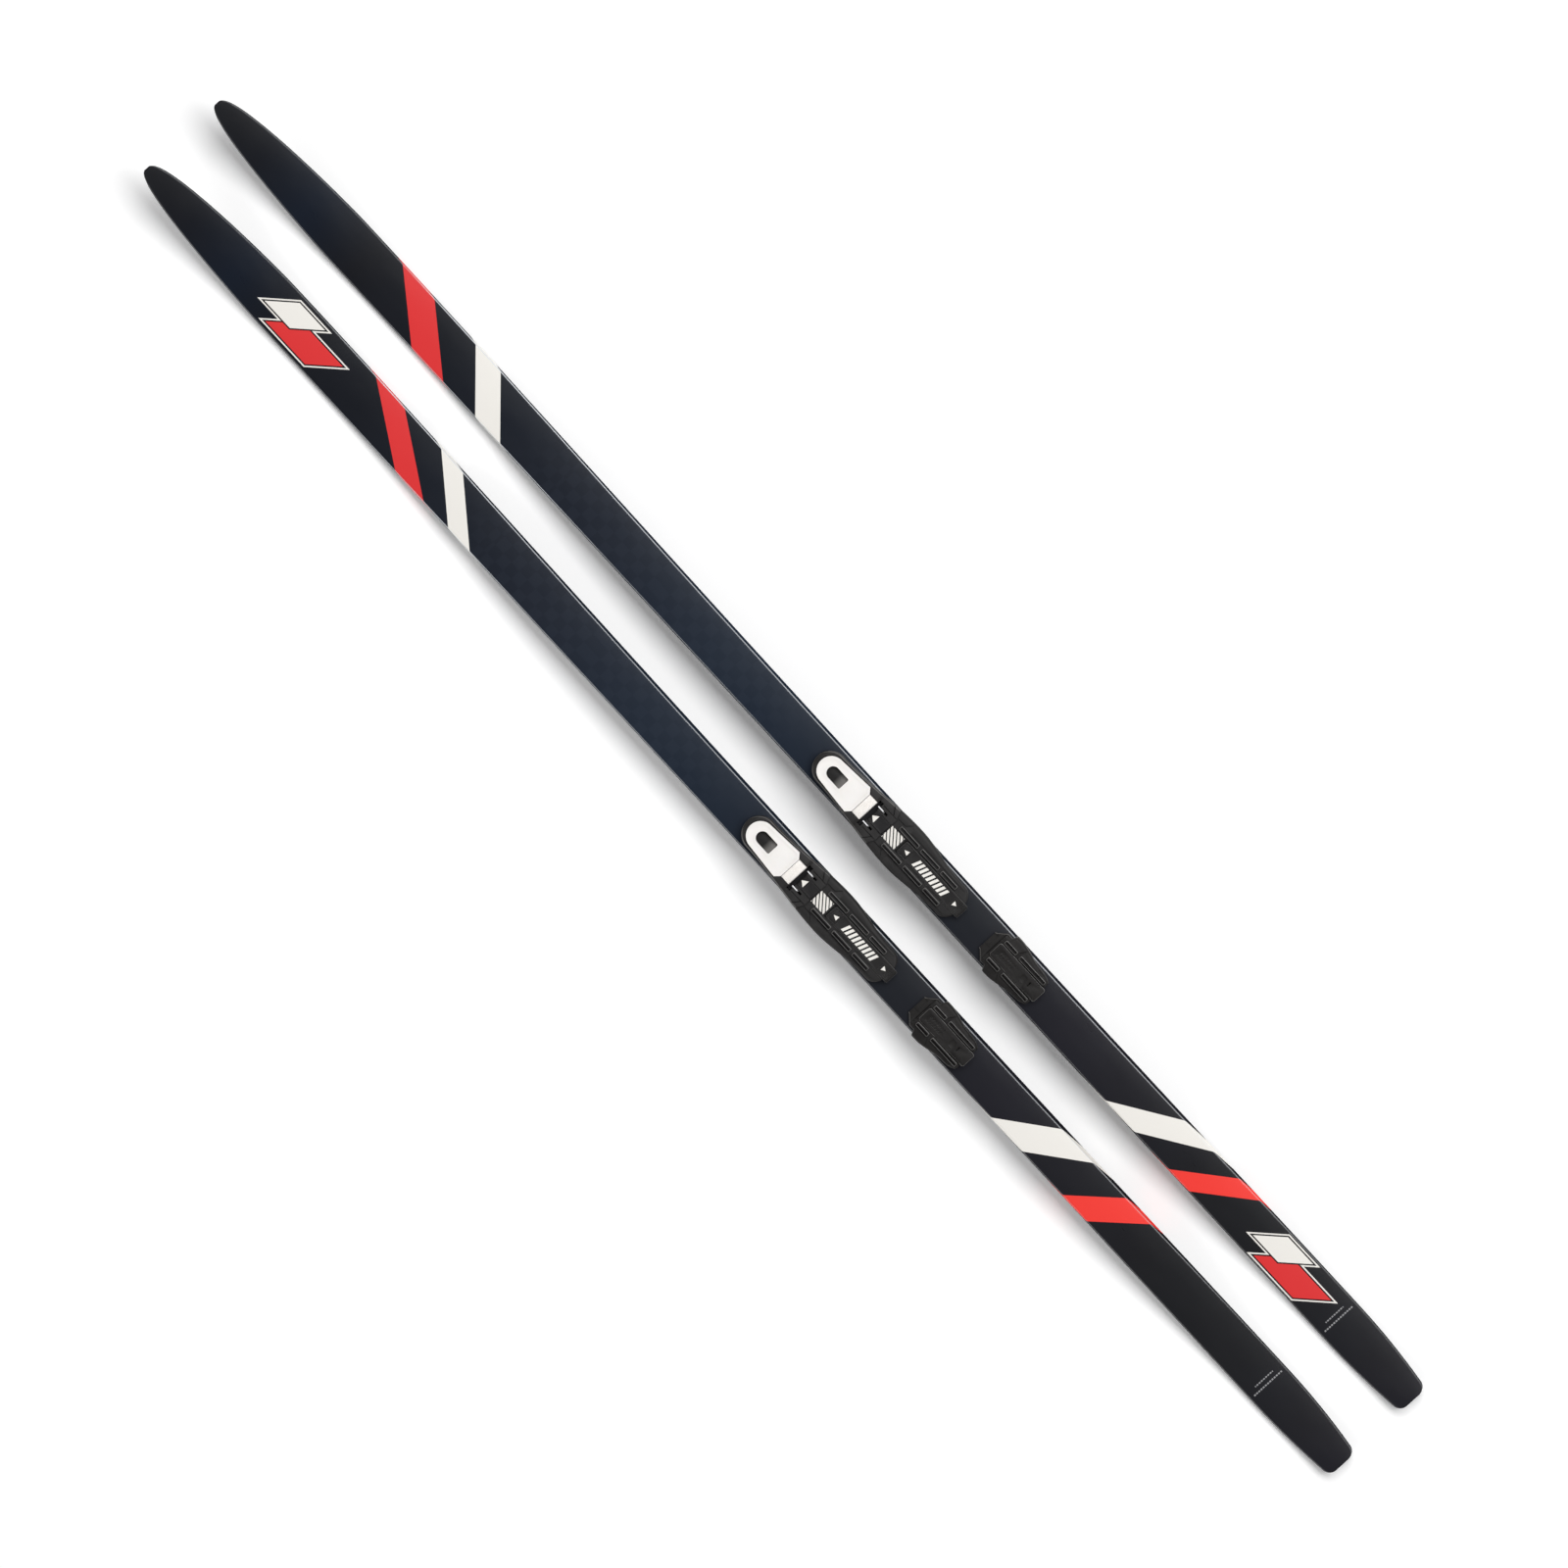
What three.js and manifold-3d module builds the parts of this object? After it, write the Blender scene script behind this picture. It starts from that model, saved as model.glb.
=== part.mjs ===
// A pair of cross-country skis with step-in toe bindings and heel plates.
// Millimetres, +X towards the tips, +Y to the skier's left, +Z up, z = 0 on the snow.

import * as THREE from 'three';
import { mergeVertices } from 'three/addons/utils/BufferGeometryUtils.js';
import Module from 'manifold-3d';

const wasm = await Module();
wasm.setup();

// ---------------------------------------------------------------- driving dimensions

const HALF_LENGTH = 920; // the chord from tail to tip is twice this
const SKI_SPACING = 100; // between the two ski axes

const WAIST_WIDTH = 49.5;
const TAIL_WIDTH = 51;
const SHOVEL_WIDTH = 55;
const WAIST_X = -60;
const TAIL_WIDE_X = -740;
const SHOVEL_WIDE_X = 690;
const TIP_TAPER = 190; // length of the pointed front
const TIP_BLUNT = 0.4; // the two sides of the point would meet this far ahead of the tip
const TIP_CURVE = [1.4, 0.36]; // powers of the curve the point follows
const TAIL_TAPER = 110;
const TAIL_STRAIGHT = 10; // the neck is at its narrowest this far from the end
const TAIL_NECK = 5.9; // how much narrower each side is at the end of the tail
const TAIL_CORNER = 8.5; // radius of the tail's two corners

const CAMBER = 22; // height of the base over the snow at mid ski
const CONTACT_FRONT = 640; // where the base touches the snow
const CONTACT_REAR = -840;
const CAMBER_CURVE = [3, 2]; // powers of the arch between the two contacts
const TIP_RISE = 56;
const TIP_BEND = 2.4; // the higher, the later the front bends up
const TAIL_RISE = 8;
const TAIL_BEND = 1.8;

const DECK_Z = 44; // top of the flat part that carries the binding
const DECK_REAR = -350;
const DECK_FRONT = 10;
const THIN_FRONT = 570; // the ski keeps its end thickness beyond these two
const THIN_REAR = -800;
const END_THICKNESS = 8;
const TIP_THICKNESS = 6.4;

const BASE_THICKNESS = 1.3;
const LAMINATE = 0.8;
const SHELL_TOP = 0.9; // thickness of the cap over the laminates
const SHELL_SIDE = 1.8;
const SIDE_SLOPE = 0.075; // inset of the side wall for each millimetre of height
const EDGE_ROUND = 1.5;
const EDGE_SHARE = 0.3; // where the facet of the rounded edge has its corner
const SLENDER_HALF = 12; // narrower than this, the walls and edges shrink with the ski
const GLUE = 0.06; // gap between bonded layers
const CORE_REAR = -770; // the core ends here, and spacers fill the rest
const CORE_FRONT = 600;
const AIR_CHANNELS = [[-700, -380], [60, 470]]; // in the core, behind and ahead of the binding
const CHANNEL_Y = 9;
const CHANNEL_HALF = 5;
const CHANNEL_FLOOR = 0.3; // share of the core's thickness left below a channel
const CHANNEL_REACH = 30;
const INSIDE_REAR = -906;
const INSIDE_FRONT = 898;
const END_STEP = 1.5; // the layers stop this far short of the end of the cap's hollow
const GROOVE_HALF = 1.5;
const GROOVE_DEPTH = 0.6;
const GROOVE_REAR = -832;
const GROOVE_FRONT = 632;

const FIT = 0.3; // gap between parts that are clipped or screwed together
const REST = 0.05; // gap between parts that lie on each other
const CUT = 1; // how far an opening is carried past the face it opens
const REACH = 40; // half width of an opening that spans the whole binding
const OPEN_Z = 70; // top of an opening that is open above the binding

// Toe binding, from the ski up
const PLATE_Z = DECK_Z + REST;
const PLATE_TOP = 47;
const PLATE_HALF = 18.5;
const PLATE_CORNER = 15;
const PLATE_INSET_REAR = 4; // from the ends of the binding
const PLATE_INSET_FRONT = 3;
const FOOT_Z = PLATE_TOP + REST;
const FOOT_TOP = 53; // the boot sole rests here
const RIDGE_TOP = 57;
const CHANNEL_Z = 49.4; // floor of the slider's channel
const SKIRT_Z = 41;
const SKIRT_INNER = 23.8;
const TOE_REAR = -219.7;
const TOE_FRONT = -2.5;
const TOE_REAR_ROUND = 14; // length of the rounded rear end
const TOE_REAR_INSET = 9.5;
const TOE_NARROW = 20.5;
const TOE_WIDE = 26.95; // half width at the flared wings
const TOE_WIDE_X = -135;
const TOE_FLARE_X = -200;
const NOSE_X = -21.5; // where the round front starts
const NOSE_HALF = 19.2;
const NOSE_BLUNT = 0.999; // under 1, so that the round front keeps a short flat
const SEAM_X = -108; // the footplate meets the toe housing
const SEAM_HALF = 15;
const SEAM_RAKE = 11;
const RIDGE_Y = 12.7;
const RIDGE_WIDTH = 4.6;
const RIDGE_CORNER = 1.2;
const RIDGE_ROOT = 0.5; // how deep the ridges are sunk in their plate
const TOE_RIDGES = [[-202, -179], [-175, -148], [-144, -116]];

const SLIDER_HALF = 8.15;
const SLIDER_REAR = -225.4;
const SLIDER_FRONT = -131.4;
const SLIDER_TOP = FOOT_TOP + 0.9;
const SLIDER_CORNER = 2.2;
const SLIDER_PLAY = 0.15; // over the floor of the channel
const SLIDER_STOP = 1.8; // gap ahead of the slider
const SLIDER_UNDERCUT = [2, 1.6]; // length and height, under the finger step
const SLIDER_RAMP = [5, 1.7]; // length and drop, on top of the finger step
const TAB_HALF = 7.15;
const TAB_REAR = -107.4;
const TAB_FRONT = -87;
const TAB_Z = 55;
const TAB_TOP = RIDGE_TOP + 0.3;
const TAB_TRAVEL = 1.8; // room under the tab
const TAB_PLAY = 0.4; // gap behind it

const POCKET_REAR = -86.3; // the slot that the boot's toe bar drops into
const POCKET_HALF = 17;
const POCKET_Z = 48.3;
const FLEXOR_REAR = -81.1;
const FLEXOR_FRONT = -69.5;
const FLEXOR_HALF = 12.9;
const FLEXOR_PLAY = 0.4;
const FLEXOR_Z = 49.4;
const FLEXOR_TOP = 60.3;
const FLEXOR_FACE = [[4, FLEXOR_TOP], [0.5, 58.2], [1.2, 54]]; // ahead of its rear edge, and height
const BRACKET_TOP = 49.35;
const BRACKET_REAR = -85.9;
const BRACKET_FRONT = -72;
const BRACKET_GAP = 0.8; // behind the flexor
const BRACKET_ARM = [11.6, 16.4]; // reach across the ski of the arms that carry the lugs
const LUG_Y = 15.9;
const LUG_HALF = 0.6;
const LUG_TOP = [[FLEXOR_REAR - BRACKET_GAP, 52.6], [-83, 54], [-85, 54], [BRACKET_REAR, 53]];

const LEVER_REAR = -69;
const LEVER_SHOULDER = -64;
const LEVER_HALF = 18.4;
const LEVER_NOSE = 15.4; // radius of the lever's round front
const LEVER_FRONT = -8.4;
const LEVER_PIN = [-60, 56.5]; // x and z
const LEVER_PIN_RADIUS = 1.75;
const LEVER_PIN_HALF = 20.5;
const LEVER_BORE = 2.1; // radius, for the pin
const LEVER_PLAY = 0.6; // between the lever and its bay
const LEVER_BAY_Z = 50;
const LEVER_TOP = [[-8, 59.6], [-12, 61.4], [-24, 63.2], [-45, 64.2], [-60, 63.2], [-70, 60.4]];
const LEVER_UNDER = [[-70, 58.5], [-65.5, 58.5], [-64.5, 53.8], [-55.5, 53.8], [-54.5, 58.2],
  [-8, 58.2]];
const WINDOW_REAR = -43.2;
const WINDOW_FRONT = -19.8;
const WINDOW_HALF = 7.2;
const INSERT_Z = [56.8, 59]; // the cup, under the window
const INSERT_RIM_Z = [56.4, 57.8];
const INSERT_RIM = 1.6;
const SPRING_BAY = [7, 6.2, 60.4]; // half length, half width and top, in the lever
const SPRING_TURNS = 3.25;
const SPRING_RADIUS = 2.75;
const SPRING_HALF = 4; // half width of the coil
const SPRING_WIRE = 0.4; // radius
const SPRING_LEG = [[0, 1.2], [-6, 0.9]]; // ahead of the coil's end, and height in the bay
const HOUSING_TOP = [[TOE_FRONT + 1, 54], [-8, 57.5], [-30, 60], [-66, 61], [-78, 60.2],
  [-82, RIDGE_TOP], [-92, RIDGE_TOP], [SEAM_X - 2, RIDGE_TOP - 1.4]];
const HOOK_PIN = [-91, 50.5];
const HOOK_PIN_RADIUS = 1.2;
const HOOK_PIN_HALF = 15;
const HOOK_BORE = 1.45; // radius, for the pin
const HOOK_BAY = [-97.5, -84.5]; // room for the hook to turn back
const HOOK_BAY_Z = [47.8, 54];
const CLAW_Y = 11;
const CLAW_HALF = 0.65;
const CLAW_SLOT_HALF = 1.2;
const CLAW_OUTLINE = [[-2.4, -1.4], [1.6, -1.6], [2.6, 1], [2.4, 4.6], [6.6, 5.6], [6.9, 6.9],
  [0.4, 7.2], [-1.6, 5]]; // from the pin
const HOOK_WEB = [2.2, -1.4, 2.4]; // half length, bottom and top, from the pin

// Heel plate
const HEEL_REAR = -340;
const HEEL_TOP = 48.5;
const HEEL_PAD_TOP = 53;
const HEEL_PAD_FRONT = -274;
const HEEL_LIP_FRONT = -263.5;
const HEEL_REAR_HALF = 15;
const HEEL_REAR_ROUND = 18; // length of the rounded rear end
const HEEL_NARROW = 20.5;
const HEEL_WIDE = 26.2;
const HEEL_FLARE = [-324, -289]; // the plate widens here, and narrows again there
const HEEL_FLARE_END = [-283.5, -280];
const HEEL_LIP_TAPER = 9.3;
const HEEL_LIP_INSET = 8.5;
const HEEL_PAD_INSET = 0.5;
const HEEL_COVER_HALF = 9;
const HEEL_COVER_REAR = -343.5;
const HEEL_COVER_FRONT = -275.2;
const HEEL_COVER_TOP = HEEL_PAD_TOP + 0.8;
const HEEL_COVER_CORNER = 2.5;
const HEEL_RIDGES = [[-337.6, -299.7], [-295, -277.5]];
const HEEL_RIDGE_TOP = RIDGE_TOP - 0.6;

const SCREW_RADIUS = 2;
const SCREW_HEAD = 3.9;
const SCREW_TIP_Z = 31;
const SCREW_POINT = 3; // length of its point
const SCREW_RIM = 0.2;
const SCREW_SOCKET = [1.2, 1]; // radius and depth
const SCREW_SUNK = 0.2; // head below the face around it
const THIN_SIDES = 8; // facets of screws and thin pins
const TOE_SCREWS = [[-200, 0], [-145, 0], [-30, 9], [-30, -9]];
const HEEL_SCREWS = [[-325, 0], [-290, 0]];

// ---------------------------------------------------------------- materials

const finish = (color, roughness, metalness = 0) =>
  new THREE.MeshStandardMaterial({ color, roughness, metalness });

const MATERIALS = {
  topsheet: finish(0x25272e, 0.28),
  base: finish(0x17181a, 0.45),
  laminate: finish(0xc9cdb4, 0.5),
  wood: finish(0xc9a877, 0.75),
  spacer: finish(0x3c3f44, 0.6),
  black: finish(0x262324, 0.55),
  white: finish(0xeeece8, 0.45),
  rubber: finish(0xe9e5de, 0.75),
  steel: finish(0x9a9c9f, 0.35, 1),
};

// ---------------------------------------------------------------- geometry helpers

const clamp01 = (v) => Math.min(1, Math.max(0, v));
const smooth = (v) => clamp01(v) ** 2 * (3 - 2 * clamp01(v));
const mix = (a, b, w) => a + (b - a) * w;

/** Evenly spaced values from a to b, both included. */
const steps = (a, b, count) => Array.from({ length: count + 1 }, (_, i) => mix(a, b, i / count));

/** Values from a to b that crowd together at a, for a rounded end. */
const crowded = (a, b, count) =>
  Array.from({ length: count + 1 }, (_, i) => mix(a, b, 1 - Math.cos((i / count) * Math.PI / 2)));

const sortedSet = (values) => [...new Set(values)].sort((a, b) => a - b);

/** A manifold body from any closed three.js geometry. */
function solid(geometry) {
  geometry.deleteAttribute('normal');
  geometry.deleteAttribute('uv');
  const merged = mergeVertices(geometry);
  return new wasm.Manifold(new wasm.Mesh({
    numProp: 3,
    vertProperties: merged.attributes.position.array,
    triVerts: Uint32Array.from(merged.index.array),
  }));
}

/** The closed skin through one loop of [y, z] points at each x, counter-clockwise seen from +X. */
function loft(xs, loopAt) {
  const loops = xs.map(loopAt);
  const n = loops[0].length;
  const positions = loops.flatMap((loop, i) => loop.flatMap(([y, z]) => [xs[i], y, z]));
  const index = [];
  for (let i = 0; i + 1 < xs.length; i++) {
    for (let j = 0; j < n; j++) {
      const a = i * n + j;
      const b = i * n + ((j + 1) % n);
      index.push(a, b, b + n, a, b + n, a + n);
    }
  }
  const fill = (loop) =>
    THREE.ShapeUtils.triangulateShape(loop.map(([y, z]) => new THREE.Vector2(y, z)), []);
  const last = (xs.length - 1) * n;
  fill(loops[0]).forEach(([a, b, c]) => index.push(a, c, b));
  fill(loops.at(-1)).forEach(([a, b, c]) => index.push(last + a, last + b, last + c));
  const geometry = new THREE.BufferGeometry();
  geometry.setAttribute('position', new THREE.Float32BufferAttribute(positions, 3));
  geometry.setIndex(index);
  return solid(geometry);
}

/** A box between two corners. */
function box([x0, x1], [y0, y1], [z0, z1]) {
  const geometry = new THREE.BoxGeometry(x1 - x0, y1 - y0, z1 - z0);
  geometry.translate((x0 + x1) / 2, (y0 + y1) / 2, (z0 + z1) / 2);
  return solid(geometry);
}

/** An outline in the x-y plane, raised from z0 to z1. */
function plate(shape, z0, z1, curveSegments = 4) {
  const options = { depth: z1 - z0, bevelEnabled: false, curveSegments };
  return solid(new THREE.ExtrudeGeometry(shape, options).translate(0, 0, z0));
}

/** An outline of [x, z] points, run across the ski from y = -half to half. */
function sideways(points, half) {
  const shape = new THREE.Shape(points.map(([x, z]) => new THREE.Vector2(x, z)));
  const geometry = new THREE.ExtrudeGeometry(shape, { depth: 2 * half, bevelEnabled: false });
  return solid(geometry.rotateX(Math.PI / 2).translate(0, half, 0));
}

/** A round bar across the ski, centred on the ski axis. */
function crossBar([x, z], radius, half, sides = 12) {
  return solid(new THREE.CylinderGeometry(radius, radius, 2 * half, sides).translate(x, 0, z));
}

/** A round bar standing up. */
function upright([x, y], radius, [z0, z1], sides = 10) {
  const geometry = new THREE.CylinderGeometry(radius, radius, z1 - z0, sides);
  return solid(geometry.rotateX(Math.PI / 2).translate(x, y, (z0 + z1) / 2));
}

const polygon = (points) => new THREE.Shape(points.map(([x, y]) => new THREE.Vector2(x, y)));

/** A plan outline that is as wide as halfAt(x) on both sides of the axis. */
function mirrored(xs, halfAt) {
  const side = xs.map((x) => [x, halfAt(x)]);
  return polygon([...side.map(([x, h]) => [x, -h]), ...side.reverse()]);
}

/** A plan rectangle with rounded corners. */
function rounded([x0, x1], [y0, y1], r) {
  const shape = new THREE.Shape();
  shape.absarc(x1 - r, y0 + r, r, -Math.PI / 2, 0);
  shape.absarc(x1 - r, y1 - r, r, 0, Math.PI / 2);
  shape.absarc(x0 + r, y1 - r, r, Math.PI / 2, Math.PI);
  shape.absarc(x0 + r, y0 + r, r, Math.PI, 1.5 * Math.PI);
  return shape;
}

// ---------------------------------------------------------------- the ski's own lines

/** Height of the base over the snow. */
function baseZ(x) {
  if (x > CONTACT_FRONT) {
    return TIP_RISE * ((x - CONTACT_FRONT) / (HALF_LENGTH - CONTACT_FRONT)) ** TIP_BEND;
  }
  if (x < CONTACT_REAR) {
    return TAIL_RISE * ((CONTACT_REAR - x) / (HALF_LENGTH + CONTACT_REAR)) ** TAIL_BEND;
  }
  const middle = (CONTACT_FRONT + CONTACT_REAR) / 2;
  const reach = (CONTACT_FRONT - CONTACT_REAR) / 2;
  const [flat, ends] = CAMBER_CURVE;
  return CAMBER * (1 - Math.abs((x - middle) / reach) ** flat) ** ends;
}

/** Thickness of the whole ski. */
function thickness(x) {
  const end = mix(END_THICKNESS, TIP_THICKNESS, clamp01((x - THIN_FRONT) / (HALF_LENGTH - THIN_FRONT)));
  const away = x > DECK_FRONT ? (x - DECK_FRONT) / (THIN_FRONT - DECK_FRONT)
    : (DECK_REAR - x) / (DECK_REAR - THIN_REAR);
  return mix(DECK_Z - baseZ(x), end, smooth(away));
}

const topZ = (x) => baseZ(x) + thickness(x);

/** Half width of the base, from the sidecut and the shape of both ends. */
function halfWidth(x) {
  const waist = WAIST_WIDTH / 2;
  const wide = x > WAIST_X ? SHOVEL_WIDTH / 2 : TAIL_WIDTH / 2;
  const wideX = x > WAIST_X ? SHOVEL_WIDE_X : TAIL_WIDE_X;
  const sidecut = mix(waist, wide, smooth((x - WAIST_X) / (wideX - WAIST_X)));
  const toTip = HALF_LENGTH + TIP_BLUNT - x;
  const toTail = HALF_LENGTH + x;
  if (toTip < TIP_TAPER) {
    return sidecut * (1 - (1 - toTip / TIP_TAPER) ** TIP_CURVE[0]) ** TIP_CURVE[1];
  }
  if (toTail < TAIL_TAPER) {
    const neck = sidecut - TAIL_NECK * ((TAIL_TAPER - toTail) / (TAIL_TAPER - TAIL_STRAIGHT)) ** 2;
    const corner = Math.max(0, TAIL_CORNER - toTail);
    return neck - TAIL_CORNER + Math.sqrt(TAIL_CORNER ** 2 - corner ** 2);
  }
  return sidecut;
}

const insideBottom = (x) => baseZ(x) + BASE_THICKNESS + GLUE;
const insideTop = (x) => topZ(x) - SHELL_TOP;
const wallInset = (x) => SIDE_SLOPE * thickness(x);

/** Half width inside the cap at a height. */
function insideHalf(x, z) {
  const up = (z - insideBottom(x)) / (insideTop(x) - insideBottom(x));
  return halfWidth(x) - SHELL_SIDE - wallInset(x) * up;
}

const TIP_STATIONS = crowded(HALF_LENGTH, HALF_LENGTH - TIP_TAPER, 11);
const TAIL_STATIONS = [
  ...crowded(-HALF_LENGTH, TAIL_CORNER - HALF_LENGTH, 3),
  ...steps(TAIL_CORNER - HALF_LENGTH, CONTACT_REAR, 3),
];
const BODY_STATIONS = [
  ...steps(CONTACT_REAR, DECK_REAR, 7),
  ...steps(DECK_REAR, DECK_FRONT, 3),
  ...steps(DECK_FRONT, CONTACT_FRONT, 9),
  (CONTACT_FRONT + SHOVEL_WIDE_X) / 2,
  SHOVEL_WIDE_X,
];
const LAYER_ENDS = [INSIDE_REAR, INSIDE_REAR + END_STEP, INSIDE_FRONT - END_STEP, INSIDE_FRONT,
  CORE_REAR - FIT, CORE_REAR, CORE_FRONT, CORE_FRONT + FIT];
// Every layer bends at the same stations, so bonded faces stay parallel.
const STATIONS = sortedSet([...TAIL_STATIONS, ...BODY_STATIONS, ...TIP_STATIONS, ...LAYER_ENDS]);
const within = (x0, x1) => [x0, ...STATIONS.filter((x) => x > x0 && x < x1), x1];

/** A bonded layer inside the cap, between two heights given as functions of x. */
function layer(x0, x1, lowAt, highAt) {
  return loft(within(x0, x1), (x) => {
    const low = lowAt(x);
    const high = highAt(x);
    const lowHalf = insideHalf(x, low) - 2 * GLUE;
    const highHalf = insideHalf(x, high) - 2 * GLUE;
    return [[-lowHalf, low], [lowHalf, low], [highHalf, high], [-highHalf, high]];
  });
}

// ---------------------------------------------------------------- pieces of the ski

/** Running base, with its centre groove. */
function baseSole() {
  const slab = loft(STATIONS, (x) => {
    const half = halfWidth(x);
    const low = baseZ(x);
    return [[-half, low], [half, low], [half, low + BASE_THICKNESS], [-half, low + BASE_THICKNESS]];
  });
  const groove = loft(within(GROOVE_REAR, GROOVE_FRONT), (x) => {
    const low = baseZ(x);
    const g = GROOVE_HALF;
    return [[-g, low - CUT], [g, low - CUT], [g, low + GROOVE_DEPTH], [-g, low + GROOVE_DEPTH]];
  });
  return slab.subtract(groove);
}

/** Holes that the binding screws need in the top of the ski. */
function screwHoles(radius) {
  return [...TOE_SCREWS, ...HEEL_SCREWS]
    .map((place) => upright(place, radius, [SCREW_TIP_Z - CUT, DECK_Z + CUT], THIN_SIDES))
    .reduce((all, hole) => all.add(hole));
}

/** Cap: top sheet and side walls in one shell, open underneath. */
function cap() {
  const outside = loft(STATIONS, (x) => {
    const half = halfWidth(x);
    const low = insideBottom(x);
    const high = topZ(x);
    const shrink = Math.min(1, half / SLENDER_HALF);
    const wall = half - wallInset(x) * shrink;
    const round = EDGE_ROUND * shrink;
    const corner = EDGE_SHARE * round;
    const right = [[half, low], [wall, high - round], [wall - corner, high - corner],
      [wall - round, high]];
    return [...right, ...right.map(([y, z]) => [-y, z]).reverse()];
  });
  const inside = loft(within(INSIDE_REAR, INSIDE_FRONT), (x) => {
    const low = insideHalf(x, insideBottom(x));
    const high = insideHalf(x, insideTop(x));
    const floor = insideBottom(x);
    return [[-low, floor - CUT], [low, floor - CUT], [low, floor], [high, insideTop(x)],
      [-high, insideTop(x)], [-low, floor]];
  });
  return outside.subtract(inside).subtract(screwHoles(SCREW_RADIUS + FIT));
}

const lowerTop = (x) => insideBottom(x) + GLUE + LAMINATE;
const upperBottom = (x) => insideTop(x) - GLUE - LAMINATE;

/** Two glass-fibre layers above and below the core. */
const lowerLaminate = () =>
  layer(INSIDE_REAR + END_STEP, INSIDE_FRONT - END_STEP, (x) => insideBottom(x) + GLUE, lowerTop);
const upperLaminate = () =>
  layer(INSIDE_REAR + END_STEP, INSIDE_FRONT - END_STEP, upperBottom, (x) => insideTop(x) - GLUE)
    .subtract(screwHoles(SCREW_RADIUS + FIT));

/** Light core with two lengthwise air channels, solid where the binding screws go in. */
function core() {
  const body = layer(CORE_REAR, CORE_FRONT, (x) => lowerTop(x) + GLUE, (x) => upperBottom(x) - GLUE);
  const channel = ([x0, x1], y) => loft(steps(x0, x1, 3), (x) => {
    const low = mix(lowerTop(x), upperBottom(x), CHANNEL_FLOOR);
    const high = low + CHANNEL_REACH;
    const [right, left] = [y - CHANNEL_HALF, y + CHANNEL_HALF];
    return [[right, low], [left, low], [left, high], [right, high]];
  });
  return AIR_CHANNELS.flatMap((span) => [channel(span, CHANNEL_Y), channel(span, -CHANNEL_Y)])
    .reduce((rest, cut) => rest.subtract(cut), body)
    .subtract(screwHoles(SCREW_RADIUS + FIT));
}

/** Solid filler between the laminates where the ski is thin. */
const spacer = (x0, x1) => layer(x0, x1, (x) => lowerTop(x) + GLUE, (x) => upperBottom(x) - GLUE);

// ---------------------------------------------------------------- toe binding

/** Half width of the toe binding's outline. */
function toeHalf(x) {
  const wings = x < TOE_WIDE_X
    ? mix(TOE_NARROW, TOE_WIDE, smooth((x - TOE_FLARE_X) / (TOE_WIDE_X - TOE_FLARE_X)))
    : mix(TOE_WIDE, NOSE_HALF, smooth((x - TOE_WIDE_X) / (NOSE_X - TOE_WIDE_X)));
  const nose = clamp01((x - NOSE_X) / (TOE_FRONT - NOSE_X));
  const rear = clamp01((TOE_REAR + TOE_REAR_ROUND - x) / TOE_REAR_ROUND);
  return wings * Math.sqrt(1 - nose ** 2 * NOSE_BLUNT) - TOE_REAR_INSET * rear ** 3;
}

const TOE_XS = sortedSet([
  ...steps(TOE_REAR, TOE_REAR + TOE_REAR_ROUND, 3), ...steps(TOE_FLARE_X, TOE_WIDE_X, 4),
  ...steps(TOE_WIDE_X, NOSE_X, 5), ...crowded(TOE_FRONT, NOSE_X, 5)]);

/** Everything in front of the seam between the footplate and the toe housing. */
function aheadOfSeam(gap) {
  const middle = SEAM_X + gap;
  const sides = middle + SEAM_RAKE;
  return plate(polygon([[middle, -SEAM_HALF], [sides, -REACH], [REACH, -REACH],
    [REACH, REACH], [sides, REACH], [middle, SEAM_HALF]]), SKIRT_Z - CUT, OPEN_Z);
}

/** Flaps that hang beside the ski, under the widest part of an outline. */
const skirts = (xs, halfAt, top) => plate(mirrored(xs, halfAt), SKIRT_Z, top).subtract(
  box([xs[0] - CUT, xs.at(-1) + CUT], [-SKIRT_INNER, SKIRT_INNER], [SKIRT_Z - CUT, top + CUT]));

/** A countersunk hole for a screw whose head ends at headZ. */
function countersink([x, y], headZ) {
  const depth = SCREW_HEAD - SCREW_RADIUS;
  const cone = new THREE.CylinderGeometry(SCREW_HEAD + FIT, SCREW_RADIUS + FIT, depth, THIN_SIDES);
  return solid(cone.rotateX(Math.PI / 2).translate(x, y, headZ - depth / 2))
    .add(upright([x, y], SCREW_RADIUS + FIT, [DECK_Z - CUT, headZ], THIN_SIDES))
    .add(upright([x, y], SCREW_HEAD + FIT, [headZ - 0.01, headZ + SCREW_POINT], THIN_SIDES));
}

/** A countersunk wood screw, head up, turned about its own axis. */
function screw([x, y], headZ) {
  const neck = headZ - (SCREW_HEAD - SCREW_RADIUS);
  const [socket, depth] = SCREW_SOCKET;
  const profile = [[0, SCREW_TIP_Z], [SCREW_RADIUS, SCREW_TIP_Z + SCREW_POINT], [SCREW_RADIUS, neck],
    [SCREW_HEAD, headZ - SCREW_RIM], [SCREW_HEAD, headZ], [socket, headZ], [0, headZ - depth]];
  const geometry = new THREE.LatheGeometry(profile.map(([r, z]) => new THREE.Vector2(r, z)), THIN_SIDES);
  return solid(geometry.rotateX(Math.PI / 2).translate(x, y, 0));
}

const toeHeadZ = ([, y]) => (y === 0 ? CHANNEL_Z : LEVER_BAY_Z) - SCREW_SUNK;
const heelHeadZ = HEEL_TOP - SCREW_SUNK;

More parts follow.
